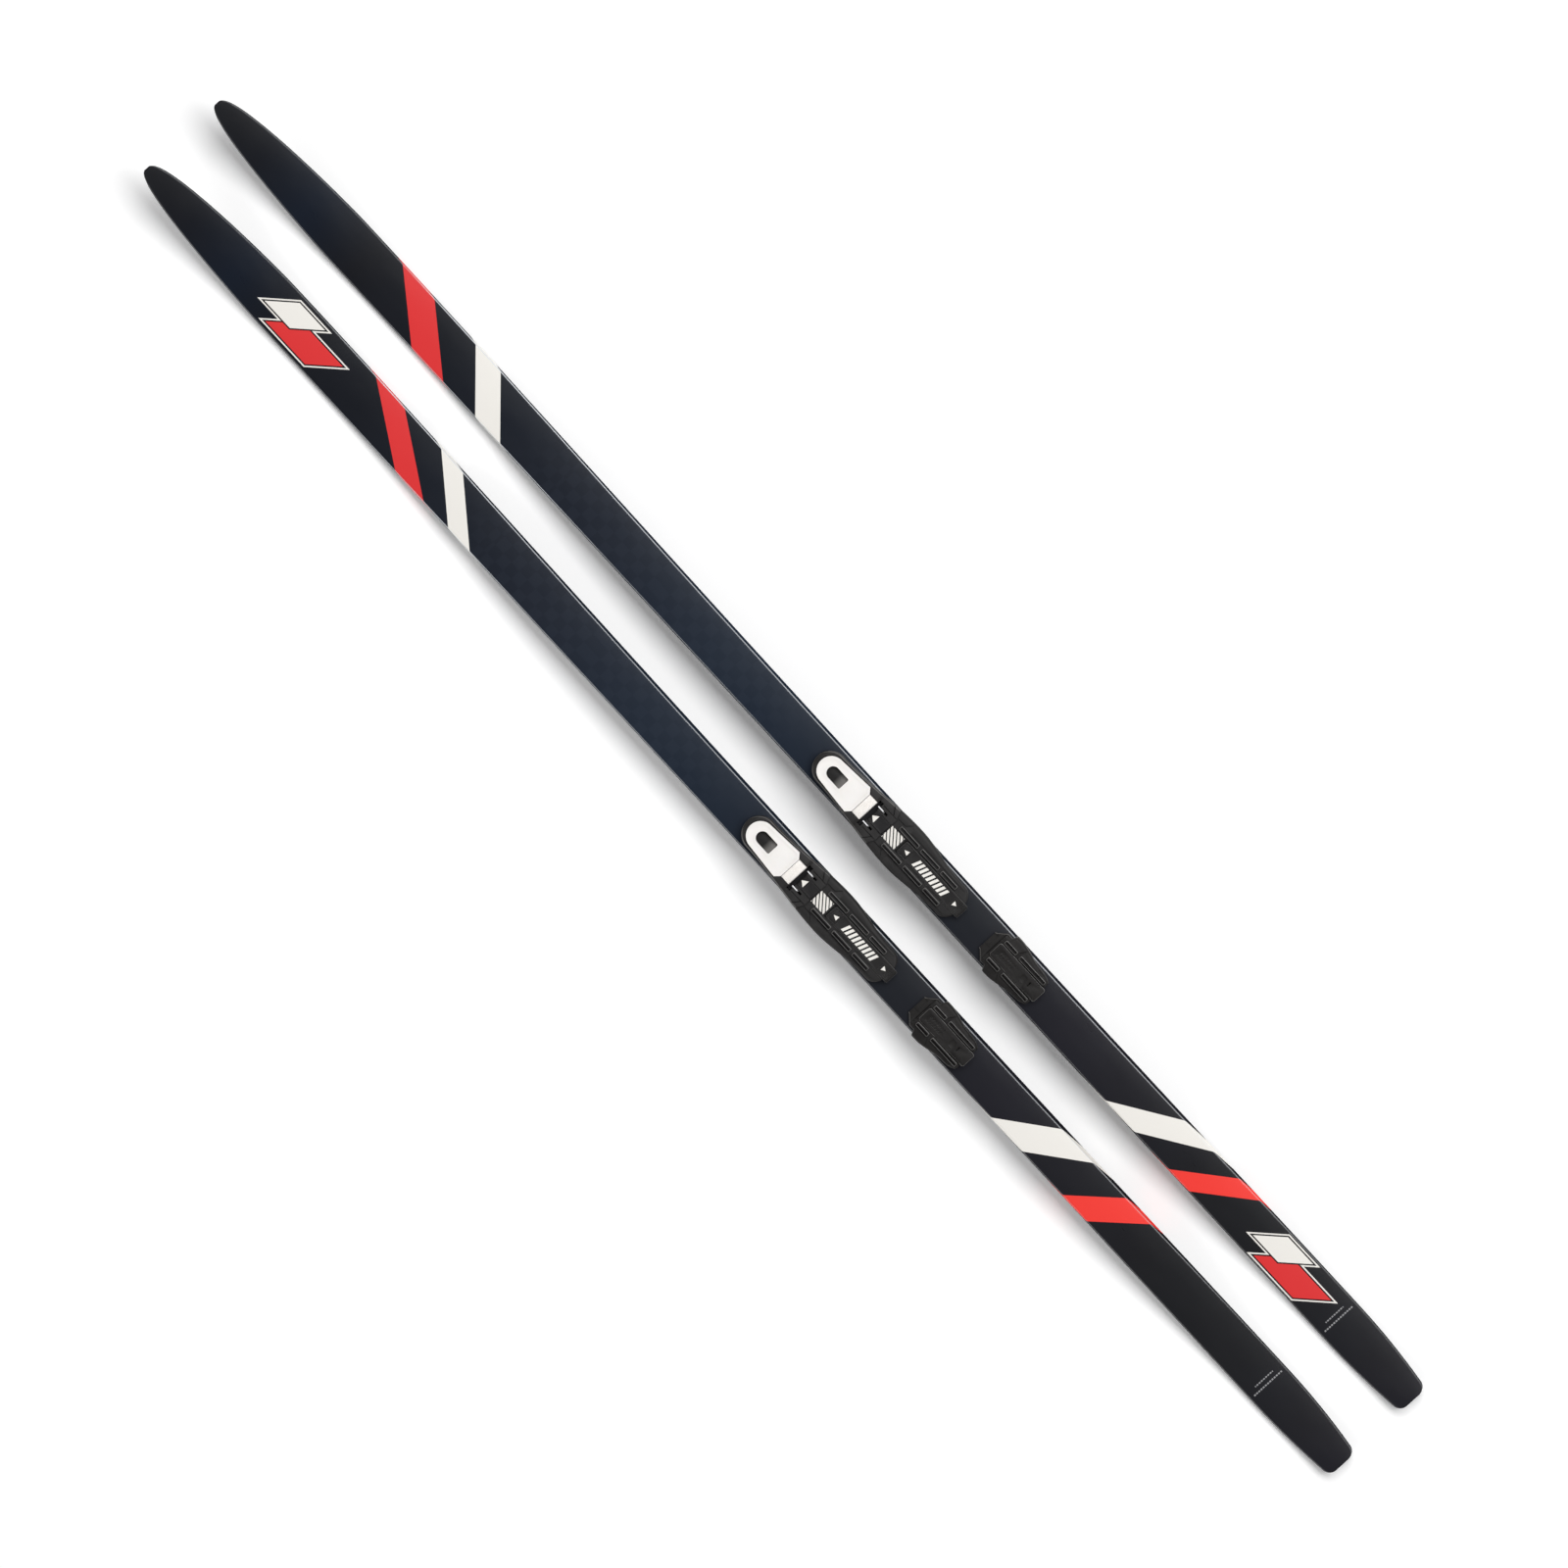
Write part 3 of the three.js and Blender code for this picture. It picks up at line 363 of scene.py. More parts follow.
def upright(centre, radius, z0, z1, count=32):
    return plate(arc(centre, radius, 0, 360 - 360 / count, count - 1), z0, z1)


def mirrored(xs, half_at):
    """A plan outline that is as wide as half_at(x) on both sides of the axis."""
    side = [(x, half_at(x)) for x in xs]
    return [(x, -h) for x, h in side] + side[::-1]


def rounded(x, y, r, count=6):
    """A plan rectangle with rounded corners."""
    corners = [((x[1] - r, y[0] + r), -90), ((x[1] - r, y[1] - r), 0),
               ((x[0] + r, y[1] - r), 90), ((x[0] + r, y[0] + r), 180)]
    return [p for centre, start in corners for p in arc(centre, r, start, start + 90, count)]


def leaning(x, y, lean, z):
    """A thin block along y whose x shifts by lean for each mm of y."""
    return plate([(x[0] + lean * y[0], y[0]), (x[1] + lean * y[0], y[0]),
                  (x[1] + lean * y[1], y[1]), (x[0] + lean * y[1], y[1])], *z)


def applied(body):
    """The body with its modifiers made permanent."""
    graph = bpy.context.evaluated_depsgraph_get()
    mesh = bpy.data.meshes.new_from_object(body.evaluated_get(graph))
    body.modifiers.clear()
    old, body.data = body.data, mesh
    bpy.data.meshes.remove(old)
    return body


def combine(body, others, operation):
    for other in others:
        cut = body.modifiers.new("cut", "BOOLEAN")
        cut.operation = operation
        cut.solver = "MANIFOLD"
        cut.object = other
    applied(body)
    for other in others:
        bpy.data.meshes.remove(other.data)  # takes the object with it
    return body


def cut(body, *others):
    return combine(body, others, "DIFFERENCE")


def join(body, *others):
    return combine(body, others, "UNION")


def keep(body, *others):
    return combine(body, others, "INTERSECT")


def eased(body, width, angle=32, segments=2):
    """The body with its sharp edges rounded."""
    edge = body.modifiers.new("edges", "BEVEL")
    edge.width = width
    edge.segments = segments
    edge.limit_method = "ANGLE"
    edge.angle_limit = math.radians(angle)
    edge.use_clamp_overlap = True
    edge.material = EASED_EDGES
    return applied(body)


# ---- the ski's own lines


def base_z(x):
    """Height of the base over the snow."""
    if x > CONTACT_FRONT:
        return TIP_RISE * ((x - CONTACT_FRONT) / (HALF_LENGTH - CONTACT_FRONT)) ** TIP_BEND
    if x < CONTACT_REAR:
        return TAIL_RISE * ((CONTACT_REAR - x) / (HALF_LENGTH + CONTACT_REAR)) ** TAIL_BEND
    middle = (CONTACT_FRONT + CONTACT_REAR) / 2
    reach = (CONTACT_FRONT - CONTACT_REAR) / 2
    flat, ends = CAMBER_CURVE
    return CAMBER * (1 - abs((x - middle) / reach) ** flat) ** ends


def thickness(x):
    end = mix(END_THICKNESS, TIP_THICKNESS, clamp01((x - THIN_FRONT) / (HALF_LENGTH - THIN_FRONT)))
    if x > DECK_FRONT:
        away = (x - DECK_FRONT) / (THIN_FRONT - DECK_FRONT)
    else:
        away = (DECK_REAR - x) / (DECK_REAR - THIN_REAR)
    return mix(DECK_Z - base_z(x), end, smooth(away))


def top_z(x):
    return base_z(x) + thickness(x)


def half_width(x):
    """Half width of the base, from the sidecut and the shape of both ends."""
    wide, wide_x = (SHOVEL_WIDTH, SHOVEL_WIDE_X) if x > WAIST_X else (TAIL_WIDTH, TAIL_WIDE_X)
    sidecut = mix(WAIST_WIDTH / 2, wide / 2, rise(x, WAIST_X, wide_x))
    to_tip = HALF_LENGTH + TIP_BLUNT - x
    to_tail = HALF_LENGTH + x
    if to_tip < TIP_TAPER:
        return sidecut * (1 - (1 - to_tip / TIP_TAPER) ** TIP_CURVE[0]) ** TIP_CURVE[1]
    if to_tail < TAIL_TAPER:
        neck = sidecut - TAIL_NECK * ((TAIL_TAPER - to_tail) / (TAIL_TAPER - TAIL_STRAIGHT)) ** 2
        corner = max(0, TAIL_CORNER - to_tail)
        return neck - TAIL_CORNER + math.sqrt(TAIL_CORNER ** 2 - corner ** 2)
    return sidecut


# strips of faces round the cap's section, counted from the foot of its left wall
CAP_TOP_STRIPS = (6, 7, 8)
CAP_EDGE_STRIPS = (3, 4, 5, 9, 10, 11)
CAP_STRIP_COUNT = 20
CAP_PARTS = ("top", "edge", "wall")

SKI_XS = merged(
    crowded(-HALF_LENGTH, TAIL_CORNER - HALF_LENGTH, 10),
    steps(TAIL_CORNER - HALF_LENGTH, CONTACT_REAR, 10),
    steps(CONTACT_REAR, SHOVEL_WIDE_X, 120),
    crowded(HALF_LENGTH, SHOVEL_WIDE_X, 56),
)


def cap():
    """Top sheet and side walls in one skin, hollow above the base."""
    def section(x):
        half, low, high = half_width(x), base_z(x) + BASE_THICKNESS + GLUE, top_z(x)
        shrink = min(1, half / SLENDER_HALF)
        wall = half - SIDE_SLOPE * thickness(x) * shrink
        r = EDGE_ROUND * shrink
        corner = arc((wall - r, high - r), r, 0, 90, 5)
        outer = [(half, low), (half - WALL_FOOT[0], low + WALL_FOOT[1]), *corner]
        hollow = smooth((x - INSIDE_REAR) / HOLLOW_RUN) * smooth((INSIDE_FRONT - x) / HOLLOW_RUN)
        inner_low = max(HOLLOW_LEAST[0] * half, half - SHELL_SIDE)
        inner_high = max(HOLLOW_LEAST[1] * half, wall - SHELL_SIDE)
        ceiling = mix(low + HOLLOW_SLIT, high - SHELL_TOP, hollow)
        inner = [(inner_low, low), (inner_high, ceiling)]
        left = [(-y, z) for y, z in outer]
        return [*outer, *left[::-1], *((-y, z) for y, z in inner), *inner[::-1]]
    body = loft(SKI_XS, section)
    across = body.data.attributes.new(WRAPPED_Y, "FLOAT", "POINT")
    for vertex, value in zip(body.data.vertices, across.data):
        x, y, z = vertex.co
        value.value = y + math.copysign(max(0, top_z(x) - z), y)
    for face in body.data.polygons:
        strip = face.index % CAP_STRIP_COUNT
        part = "top" if strip in CAP_TOP_STRIPS else "edge" if strip in CAP_EDGE_STRIPS else "wall"
        face.material_index = CAP_PARTS.index(part)
    return body


def base_sole():
    """Running base with rounded lower edges and a centre groove."""
    def section(x):
        half, low = half_width(x), base_z(x)
        shrink = min(1, half / SLENDER_HALF)
        inside = smooth((x - GROOVE_REAR) / GROOVE_RUN) * smooth((GROOVE_FRONT - x) / GROOVE_RUN)
        deep = low + GROOVE_DEPTH * inside
        g = GROOVE_HALF * shrink
        side = [(g * 0.6, deep), (g, low + 0.1 * inside), (g + 0.3 * shrink, low),
                (half - 0.4 * shrink, low), (half - 0.1 * shrink, low + 0.12),
                (half, low + 0.4), (half, low + BASE_THICKNESS)]
        return [*side, *((-y, z) for y, z in side[::-1])]
    return loft(SKI_XS, section)


# ---- toe binding


def toe_half(x):
    """Half width of the toe binding's outline."""
    if x < TOE_WIDE_X:
        wings = mix(TOE_NARROW, TOE_WIDE, rise(x, TOE_FLARE_X, TOE_WIDE_X))
    else:
        wings = mix(TOE_WIDE, NOSE_HALF, rise(x, TOE_WIDE_X, NOSE_X))
    nose = clamp01((x - NOSE_X) / (TOE_FRONT - NOSE_X))
    rear = clamp01((TOE_REAR + TOE_REAR_ROUND - x) / TOE_REAR_ROUND)
    return wings * math.sqrt(1 - nose ** 2 * NOSE_BLUNT) - TOE_REAR_INSET * rear ** 3


TOE_XS = merged(
    crowded(TOE_REAR, TOE_REAR + TOE_REAR_ROUND, 8), steps(TOE_REAR + TOE_REAR_ROUND, TOE_WIDE_X, 22),
    steps(TOE_WIDE_X, NOSE_X, 30), crowded(TOE_FRONT, NOSE_X, 18),
)


def shouldered(xs, half_at, low, top_at, shoulder, worn_highlit_strip=None):
    """A moulding whose top edge falls away: shoulder is a list of (inset, drop) up the side.

    The strip of faces that ends at the given point of the shoulder counts as an eased edge, and so takes
    the worn colour with its painted highlight.
    """
    def section(x):
        half, top = half_at(x), top_at(x)
        side = [(half, low), *((half - inset, top - drop) for inset, drop in shoulder)]
        return [*side, *((-y, z) for y, z in side[::-1])]
    body = loft(xs, section)
    last = 2 * len(shoulder)
    for face in body.data.polygons:
        strip = face.index % (last + 2)
        if worn_highlit_strip in (strip, last - strip):
            face.material_index = EASED_EDGES
    return body


def skirts(xs, half_at, top):
    """Flaps that hang beside the ski, under the widest part of a plate."""
    sides = plate(mirrored(xs, half_at), SKIRT_Z, top)
    return cut(sides, box((xs[0] - CUT, xs[-1] + CUT), (-SKIRT_INNER, SKIRT_INNER),
                          (SKIRT_Z - CUT, top + CUT)))


def ahead_of_seam(gap):
    """Everything in front of the seam between the footplate and the toe housing."""
    reach = SEAM_X + SEAM_RAKE + gap
    return plate([(SEAM_X + gap, -SEAM_HALF), (reach, -REACH), (REACH, -REACH),
                  (REACH, REACH), (reach, REACH), (SEAM_X + gap, SEAM_HALF)], SKIRT_Z - CUT, OPEN_Z)


def ridge_bars(spans, low, high):
    """Two rows of rimmed bars that guide the boot sole."""
    bars, hollows = [], []
    for x0, x1 in spans:
        for side in (1, -1):
            y = side * RIDGE_Y
            half = RIDGE_WIDTH / 2
            bars.append(plate(rounded((x0, x1), (y - half, y + half), RIDGE_CORNER), low, high))
            slot = sorted((side * RIDGE_SLOT[0], side * RIDGE_SLOT[1]))
            hollows.append(plate(rounded((x0 + RIDGE_RIM, x1 - RIDGE_RIM), slot, RIDGE_CORNER / 2),
                                 high - RIDGE_SLOT_DEPTH, high + CUT))
    return eased(join(bars[0], *bars[1:]), 0.55), hollows


def groove(start, end, half, z):
    """A thin straight cutter between two plan points."""
    (ax, ay), (bx, by) = start, end
    length = math.hypot(bx - ax, by - ay)
    nx, ny = -(by - ay) / length * half, (bx - ax) / length * half
    return plate([(ax + nx, ay + ny), (ax - nx, ay - ny), (bx - nx, by - ny), (bx + nx, by + ny)], *z)


def seams(lines, half, floor):
    """Cutters along plan lines that are given on the left side and repeated on the right."""
    return [groove((ax, side * ay), (bx, side * by), half, (floor, OPEN_Z))
            for (ax, ay), (bx, by) in lines for side in (1, -1)]


def screw_holes(places, low, high):
    return [upright(place, SCREW_HOLE, low - CUT, high + CUT) for place in places]


# inset and drop, up the side of each moulding
FOOT_SHOULDER = [(0, 3.0), (0.5, 1.9), (1.6, 0.8), (3.2, 0.2), (5.0, 0)]
HOUSING_SHOULDER = [(0, 4.5), (0.25, 2.6), (0.9, 1.0), (1.7, 0.3), (2.5, 0)]
HEEL_BASE_SHOULDER = [(0, 1.4), (0.3, 0.5), (1.0, 0)]
HEEL_PAD_SHOULDER = [(0, 2.6), (0.4, 1.5), (1.4, 0.6), (3.0, 0.15), (4.6, 0)]
# seams that show between the footplate's panels
WING_SEAMS = [((-124.5, 24), (-118.7, 17.4)), ((-118.7, 17.4), (SEAM_X, 17.4))]
SIDE_SEAM = [((-211, 16.6), (-128, 16.6))]


def footplate():
    """Rear part of the toe binding, with its flared wings and guide ridges."""
    body = shouldered(TOE_XS, toe_half, FOOT_Z, lambda x: FOOT_TOP, FOOT_SHOULDER)
    bars, hollows = ridge_bars(TOE_RIDGES, FOOT_TOP - RIDGE_ROOT, RIDGE_TOP)
    body = eased(join(body, skirts(TOE_XS, toe_half, FOOT_Z + SKIRT_ROOT), bars), 0.55)
    channel = box((TOE_REAR - CUT, SLIDER_FRONT + SLIDER_STOP), (-SLIDER_HALF - FIT, SLIDER_HALF + FIT),
                  (CHANNEL_Z, RIDGE_TOP + CUT))
    cut(body, ahead_of_seam(-FIT / 2), channel, *screw_holes(TOE_SCREWS[:2], FOOT_Z, CHANNEL_Z), *hollows,
        *seams(WING_SEAMS, 0.45, FOOT_TOP - 1.2), *seams(SIDE_SEAM, 0.35, FOOT_TOP - 1.0))
    return eased(body, 0.2, DETAIL_ANGLE)


PANEL = (-144.6, -134.2)  # the framed panel at the slider's front
SLIDER_LINES = (-217.6, -208.8, *PANEL)
SLIDER_GRIPS = (-223.2, -221.4, -219.6)
LINE_WIDTH = 0.7
LINE_DEPTH = 0.45


def center_slider():
    """Slider with a finger step behind and a framed panel."""
    top, floor = SLIDER_TOP, CHANNEL_Z + 0.15
    profile = [(SLIDER_REAR, CHANNEL_Z + 1.6), (SLIDER_REAR + 2, floor), (SLIDER_FRONT, floor),
               (SLIDER_FRONT, top), (SLIDER_REAR + 5, top), (SLIDER_REAR + 2.4, top - 0.5),
               (SLIDER_REAR, FOOT_TOP - 0.8)]
    outline = rounded((SLIDER_REAR, SLIDER_FRONT), (-SLIDER_HALF, SLIDER_HALF), 2.2)
    body = eased(keep(sideways(profile, REACH), plate(outline, SKIRT_Z, OPEN_Z)), 0.5)
    reach = SLIDER_HALF - 1.4
    across = [box((x, x + LINE_WIDTH), (-reach, reach), (top - LINE_DEPTH, OPEN_Z)) for x in SLIDER_LINES]
    along = [box((PANEL[0], PANEL[1] + LINE_WIDTH), (y - 0.3, y + 0.3), (top - LINE_DEPTH, OPEN_Z))
             for y in (0.3 - reach, reach - 0.3)]
    grips = [box((x, x + 0.8), (-6, 6), (top - 0.5, OPEN_Z)) for x in SLIDER_GRIPS]
    cut(body, *across, *along, *grips)
    return eased(body, 0.16, DETAIL_ANGLE)


def lock_tab():
    """Sprung catch with a sunk thumb face."""
    body = eased(box((TAB_REAR, TAB_FRONT), (-TAB_HALF, TAB_HALF), (TAB_Z, TAB_TOP)), 0.5)
    reach = TAB_HALF - 1.2
    face = plate(rounded((TAB_REAR + 1.4, TAB_FRONT - 1.2), (-reach, reach), 1), RIDGE_TOP, OPEN_Z)
    return eased(cut(body, face), 0.22, DETAIL_ANGLE)


HOUSING_TOP = [(-112, 55.2), (-108, 55.7), (-92, 57), (-82, 57), (-78, 60.2), (-66, 61), (-30, 60),
               (-8, 57.5), (-1.5, 54)]


def housing_top(x):
    """Height of the toe housing seen from the side."""
    for (xa, za), (xb, zb) in zip(HOUSING_TOP, HOUSING_TOP[1:]):
        if x <= xb:
            return mix(za, zb, clamp01((x - xa) / (xb - xa)))
    return HOUSING_TOP[-1][1]


def lever_outline(grow=0.0):
    """Plan of the lever, with its neck behind and its round front."""
    centre = (LEVER_FRONT - LEVER_NOSE, 0)
    return [(LEVER_REAR - grow, -FLEXOR_HALF - grow), (LEVER_SHOULDER, -LEVER_HALF - grow),
            *arc(centre, LEVER_NOSE + grow, -90, 90, 40),
            (LEVER_SHOULDER, LEVER_HALF + grow), (LEVER_REAR - grow, FLEXOR_HALF + grow)]


def window_outline(grow=0.0):
    """Plan of the lever's window: square behind, round in front."""
    half = WINDOW_HALF + grow
    centre = (WINDOW_FRONT - WINDOW_HALF, 0)
    rear = WINDOW_REAR - grow
    r = WINDOW_CORNER
    return [*arc((rear + r, half - r), r, 90, 180, 5), *arc((rear + r, r - half), r, 180, 270, 5),
            *arc(centre, half, -90, 90, 28)]


def toe_housing():
    """Front housing with the lever bay, the toe-bar pocket and the slots for the claws."""
    xs = [x for x in merged(TOE_XS, [x for x, z in HOUSING_TOP[2:-1]]) if x > HOUSING_TOP[0][0]]
    body = shouldered(xs, toe_half, FOOT_Z, housing_top, HOUSING_SHOULDER, worn_highlit_strip=3)
    join(body, skirts(xs, toe_half, FOOT_Z + SKIRT_ROOT))
    keep(body, ahead_of_seam(FIT / 2))
    cut(body, plate(lever_outline(LEVER_PLAY), LEVER_BAY_Z, OPEN_Z))
    body = eased(body, 0.5)
    flexor_half, web_half = FLEXOR_HALF + FLEXOR_PLAY, CLAW_Y + CLAW_SLOT_HALF
    cut(
        body,
        box((FLEXOR_REAR - FLEXOR_PLAY, LEVER_REAR), (-flexor_half, flexor_half), (POCKET_Z, OPEN_Z)),
        box((POCKET_REAR, FLEXOR_REAR), (-POCKET_HALF, POCKET_HALF), (POCKET_Z, OPEN_Z)),
        box(HOOK_BAY, (-web_half, web_half), HOOK_BAY_Z),
        *[box(HOOK_BAY, (y - CLAW_SLOT_HALF, y + CLAW_SLOT_HALF), (HOOK_BAY_Z[0], OPEN_Z))
          for y in (CLAW_Y, -CLAW_Y)],
        box((TAB_REAR - TAB_PLAY, POCKET_REAR + CUT), (-TAB_HALF - FIT, TAB_HALF + FIT),
            (TAB_Z - TAB_TRAVEL, OPEN_Z)),
        cross_bar(LEVER_PIN, LEVER_PIN_RADIUS + FIT, LEVER_PIN_HALF + FIT),
        cross_bar(HOOK_PIN, 1.55, HOOK_PIN_HALF + FIT, 16),
        *seams([((SEAM_X + 1, 15.6), (POCKET_REAR - 1.5, 15.6))], 0.35, 54.9),
        *seams([((-102.5, 15.6), (-96.5, 23.6))], 0.45, 53.8),
        *screw_holes(TOE_SCREWS[2:], FOOT_Z, LEVER_BAY_Z),
    )
    return eased(body, 0.22, DETAIL_ANGLE)


LEVER_TOP = [(-70, 60.4), (-65, 62.1), (-60, 63.2), (-52, 63.9), (-45, 64.2), (-34, 64.0),
             (-24, 63.2), (-17, 62.3), (-12, 61.4), (-9.6, 60.5), (-8, 59.6)]
LEVER_UNDER = [(-8, 58.2), (-54.5, 58.2), (-55.5, 53.8), (-64.5, 53.8), (-65.5, 58.5), (-70, 58.5)]
LEVER_GRIPS = (-67.6, -66.2, -64.8, -63.4)


def above_lever(depth):
    """Everything from so deep in the lever's top upwards."""
    lowered = [(x, z - depth) for x, z in LEVER_TOP]
    return sideways([*lowered, (LEVER_TOP[-1][0], OPEN_Z + CUT), (LEVER_TOP[0][0], OPEN_Z + CUT)], REACH)


def release_lever():
    """White lever with a rim round its edge and a window for the pole tip."""
    body = keep(plate(lever_outline(), LEVER_BAY_Z, OPEN_Z), sideways([*LEVER_TOP, *LEVER_UNDER], REACH))
    tray = keep(plate(lever_outline(-LEVER_RIM), LEVER_BAY_Z, OPEN_Z), above_lever(0.55))
    cut(tray, plate(window_outline(2.4), LEVER_BAY_Z - CUT, OPEN_Z + CUT))
    grips = [box((x, x + 0.55), (-11.5, 11.5), (61.2, OPEN_Z)) for x in LEVER_GRIPS]
    grips = keep(join(grips[0], *grips[1:]), above_lever(0.4))
    px = LEVER_PIN[0]
    bay_reach, bay_half, bay_top = SPRING_BAY
    cut(body, tray, grips, plate(window_outline(), LEVER_BAY_Z, OPEN_Z),
        cross_bar(LEVER_PIN, LEVER_BORE, REACH),
        box((px - bay_reach, px + bay_reach), (-bay_half, bay_half), (LEVER_BAY_Z, bay_top)))
    return eased(body, 0.42, segments=3)


CUP_RAMP = [(-44, 59), (-38.5, 59), (-27, 57.5), (-20, 57.4), (-20, 56.8), (-44, 56.8)]
CUP_RIM = (1.6, 56.4, 57.3)  # width, bottom and top


def lever_insert():
    """Dark cup under the window, with a ramp that leads the pole tip forward."""
    width, low, high = CUP_RIM
    body = keep(plate(window_outline(-FIT), LEVER_BAY_Z, OPEN_Z), sideways(CUP_RAMP, REACH))
    join(body, plate(window_outline(width), low, high))
    return eased(body, 0.2)


FLEXOR_Z = 49.4
FLEXOR_FACE = [(2.4, 60.0), (0.9, 59.2), (0.5, 58.2), (1.2, 54), (0, FLEXOR_Z)]  # from its rear edge
RIB_COUNT = 6
RIB_PITCH = 1.35
RIB_GAP = [(0, 0), (0.25, 0.5), (0.6, 0.5), (0.85, 0)]  # behind its front edge, and depth


def flexor():
    """Ribbed rubber block that the boot's toe rolls against."""
    gaps = [(FLEXOR_FRONT - 0.7 - i * RIB_PITCH - x, FLEXOR_TOP - deep)
            for i in range(RIB_COUNT) for x, deep in RIB_GAP]
    face = [(FLEXOR_REAR + x, z) for x, z in FLEXOR_FACE]
    front = [(FLEXOR_FRONT, FLEXOR_Z), (FLEXOR_FRONT, FLEXOR_TOP)]
    return eased(sideways([*front, *gaps, *face], FLEXOR_HALF), 0.16)


CLAW_OUTLINE = [(-2.4, -1.4), (1.6, -1.6), (2.6, 1), (2.4, 4.6), (6.6, 5.6), (6.9, 6.3), (6.7, 6.9),
                (0.4, 7.2), (-0.8, 6.6), (-1.6, 5)]  # from the pin
HOOK_WEB = (2.2, -1.4, 2.4)  # half length, bottom and top, from the pin


def toe_bar_hook():
    """Steel hook: two claws that close over the toe bar, joined by a web round their pin."""
    px, pz = HOOK_PIN
    reach, low, high = HOOK_WEB
    outline = [(px + x, pz + z) for x, z in CLAW_OUTLINE]
    body = box((px - reach, px + reach), (-CLAW_Y, CLAW_Y), (pz + low, pz + high))
    join(body, *[sideways(outline, y - CLAW_HALF, y + CLAW_HALF) for y in (CLAW_Y, -CLAW_Y)])
    cut(body, cross_bar(HOOK_PIN, HOOK_BORE, REACH, 24))
    return eased(body, 0.14)


# ---- heel plate


def heel_half(x):
    """Half width of the heel plate in plan."""
    rear = HEEL_HALF - HEEL_INSET * (1 - math.sqrt(1 - (1 - clamp01((x - HEEL_REAR) / HEEL_ROUND)) ** 2))
    flare = (HEEL_WIDE - HEEL_HALF) * rise(x, *HEEL_FLARE) * (1 - rise(x, *HEEL_NECK))
    return rear + flare - HEEL_LIP_INSET * clamp01((x - HEEL_PAD_FRONT) / HEEL_LIP_RUN)


HEEL_XS = merged(
    crowded(HEEL_REAR, -322, 10), steps(-322, -287, 14), steps(-287, -280, 8),
    steps(-280, HEEL_PAD_FRONT, 3), steps(HEEL_PAD_FRONT, HEEL_LIP_FRONT, 6),
)


def heel_base():
    """Lower half of the heel plate, with the stepped front lip."""
    body = shouldered(HEEL_XS, heel_half, PLATE_Z, lambda x: HEEL_TOP, HEEL_BASE_SHOULDER, worn_highlit_strip=2)
    body = eased(join(body, skirts(HEEL_XS, heel_half, PLATE_Z + SKIRT_ROOT)), 0.5)
    step = box((-268.6, HEEL_LIP_FRONT + CUT), (-11, 3), (HEEL_TOP - 0.9, OPEN_Z))
    line = groove((-271, 4), (-264.5, 4), 0.4, (HEEL_TOP - 0.8, OPEN_Z))
    gap = box((-273.9, -272.6), (-10.4, 10.4), (HEEL_TOP - 1.8, OPEN_Z))
    cut(body, step, line, gap, *screw_holes(HEEL_SCREWS, PLATE_Z, HEEL_TOP))
    return eased(body, 0.22, DETAIL_ANGLE)


def heel_pad():
    """Upper half of the heel plate, with its two rows of ridges."""
    xs = [x for x in HEEL_XS if x <= HEEL_PAD_FRONT]
    body = shouldered(xs, lambda x: heel_half(x) - 0.5, HEEL_SPLIT, lambda x: HEEL_PAD_TOP,
                      HEEL_PAD_SHOULDER)
    bars, hollows = ridge_bars(HEEL_RIDGES, HEEL_PAD_TOP - RIDGE_ROOT, RIDGE_TOP - 0.6)
    body = eased(join(body, bars), 0.55)
    reach, rear = HEEL_COVER_HALF + FIT, HEEL_REAR - 2 * CUT
    slits = [box((rear, -323.4), (reach - 0.2, reach + 0.8), (HEEL_PAD_TOP - 3, OPEN_Z)),
             box((rear, -305), (-reach - 0.8, 0.2 - reach), (HEEL_PAD_TOP - 3, OPEN_Z))]
    notches = [plate(rounded((-332, -323), (y - 1, y + 1), 0.8), HEEL_PAD_TOP - 1.2, OPEN_Z)
               for y in (18.6, -18.6)]
    cut(body, box((rear, HEEL_COVER_FRONT + FIT), (-reach, reach), (HEEL_TOP - CUT, RIDGE_TOP)),
        *hollows, *slits, *notches, *seams([((-301.5, 24), (-296.6, 15.4))], 0.45, HEEL_PAD_TOP - 1.2))
    return eased(body, 0.2, DETAIL_ANGLE)


def heel_cover():
    """Cover strip along the middle of the heel plate, dished, slotted and ribbed."""
    top = HEEL_PAD_TOP + 0.8
    outline = rounded((HEEL_COVER_REAR, HEEL_COVER_FRONT), (-HEEL_COVER_HALF, HEEL_COVER_HALF), 2.5)
    body = eased(plate(outline, HEEL_SPLIT, top), 0.5)
    dish = sideways(arc((-318.5, top + 9.2), 10, 180, 360, 40), 4.2)
    slot = box((-327.5, -325.9), (-3.3, 2.6), (top - 3.6, OPEN_Z))
    lines = [box((-342, -323), (y - 0.25, y + 0.25), (top - 0.6, OPEN_Z)) for y in (7.6, -7.6)]
    dashes = [leaning((x, x + 1.5), (y, y + 3.4), 0.4, (top - 0.45, OPEN_Z))
              for x in steps(-303, -284, 6) for y in (-4.4, 0.6)]
    cut(body, dish, slot, *lines, *dashes)
    return eased(body, 0.16, DETAIL_ANGLE)


# ---- materials


def linear(*rgb):
    """A colour given as sRGB from 0 to 255."""
    parts = [c / 255 for c in rgb]
    return [c / 12.92 if c <= 0.04045 else ((c + 0.055) / 1.055) ** 2.4 for c in parts] + [1]


COLOURS = {
    "red_rear": linear(240, 64, 57),
    "red_front": linear(217, 55, 56),
    "white": linear(234, 231, 225),
    "mark": linear(150, 150, 152),
}
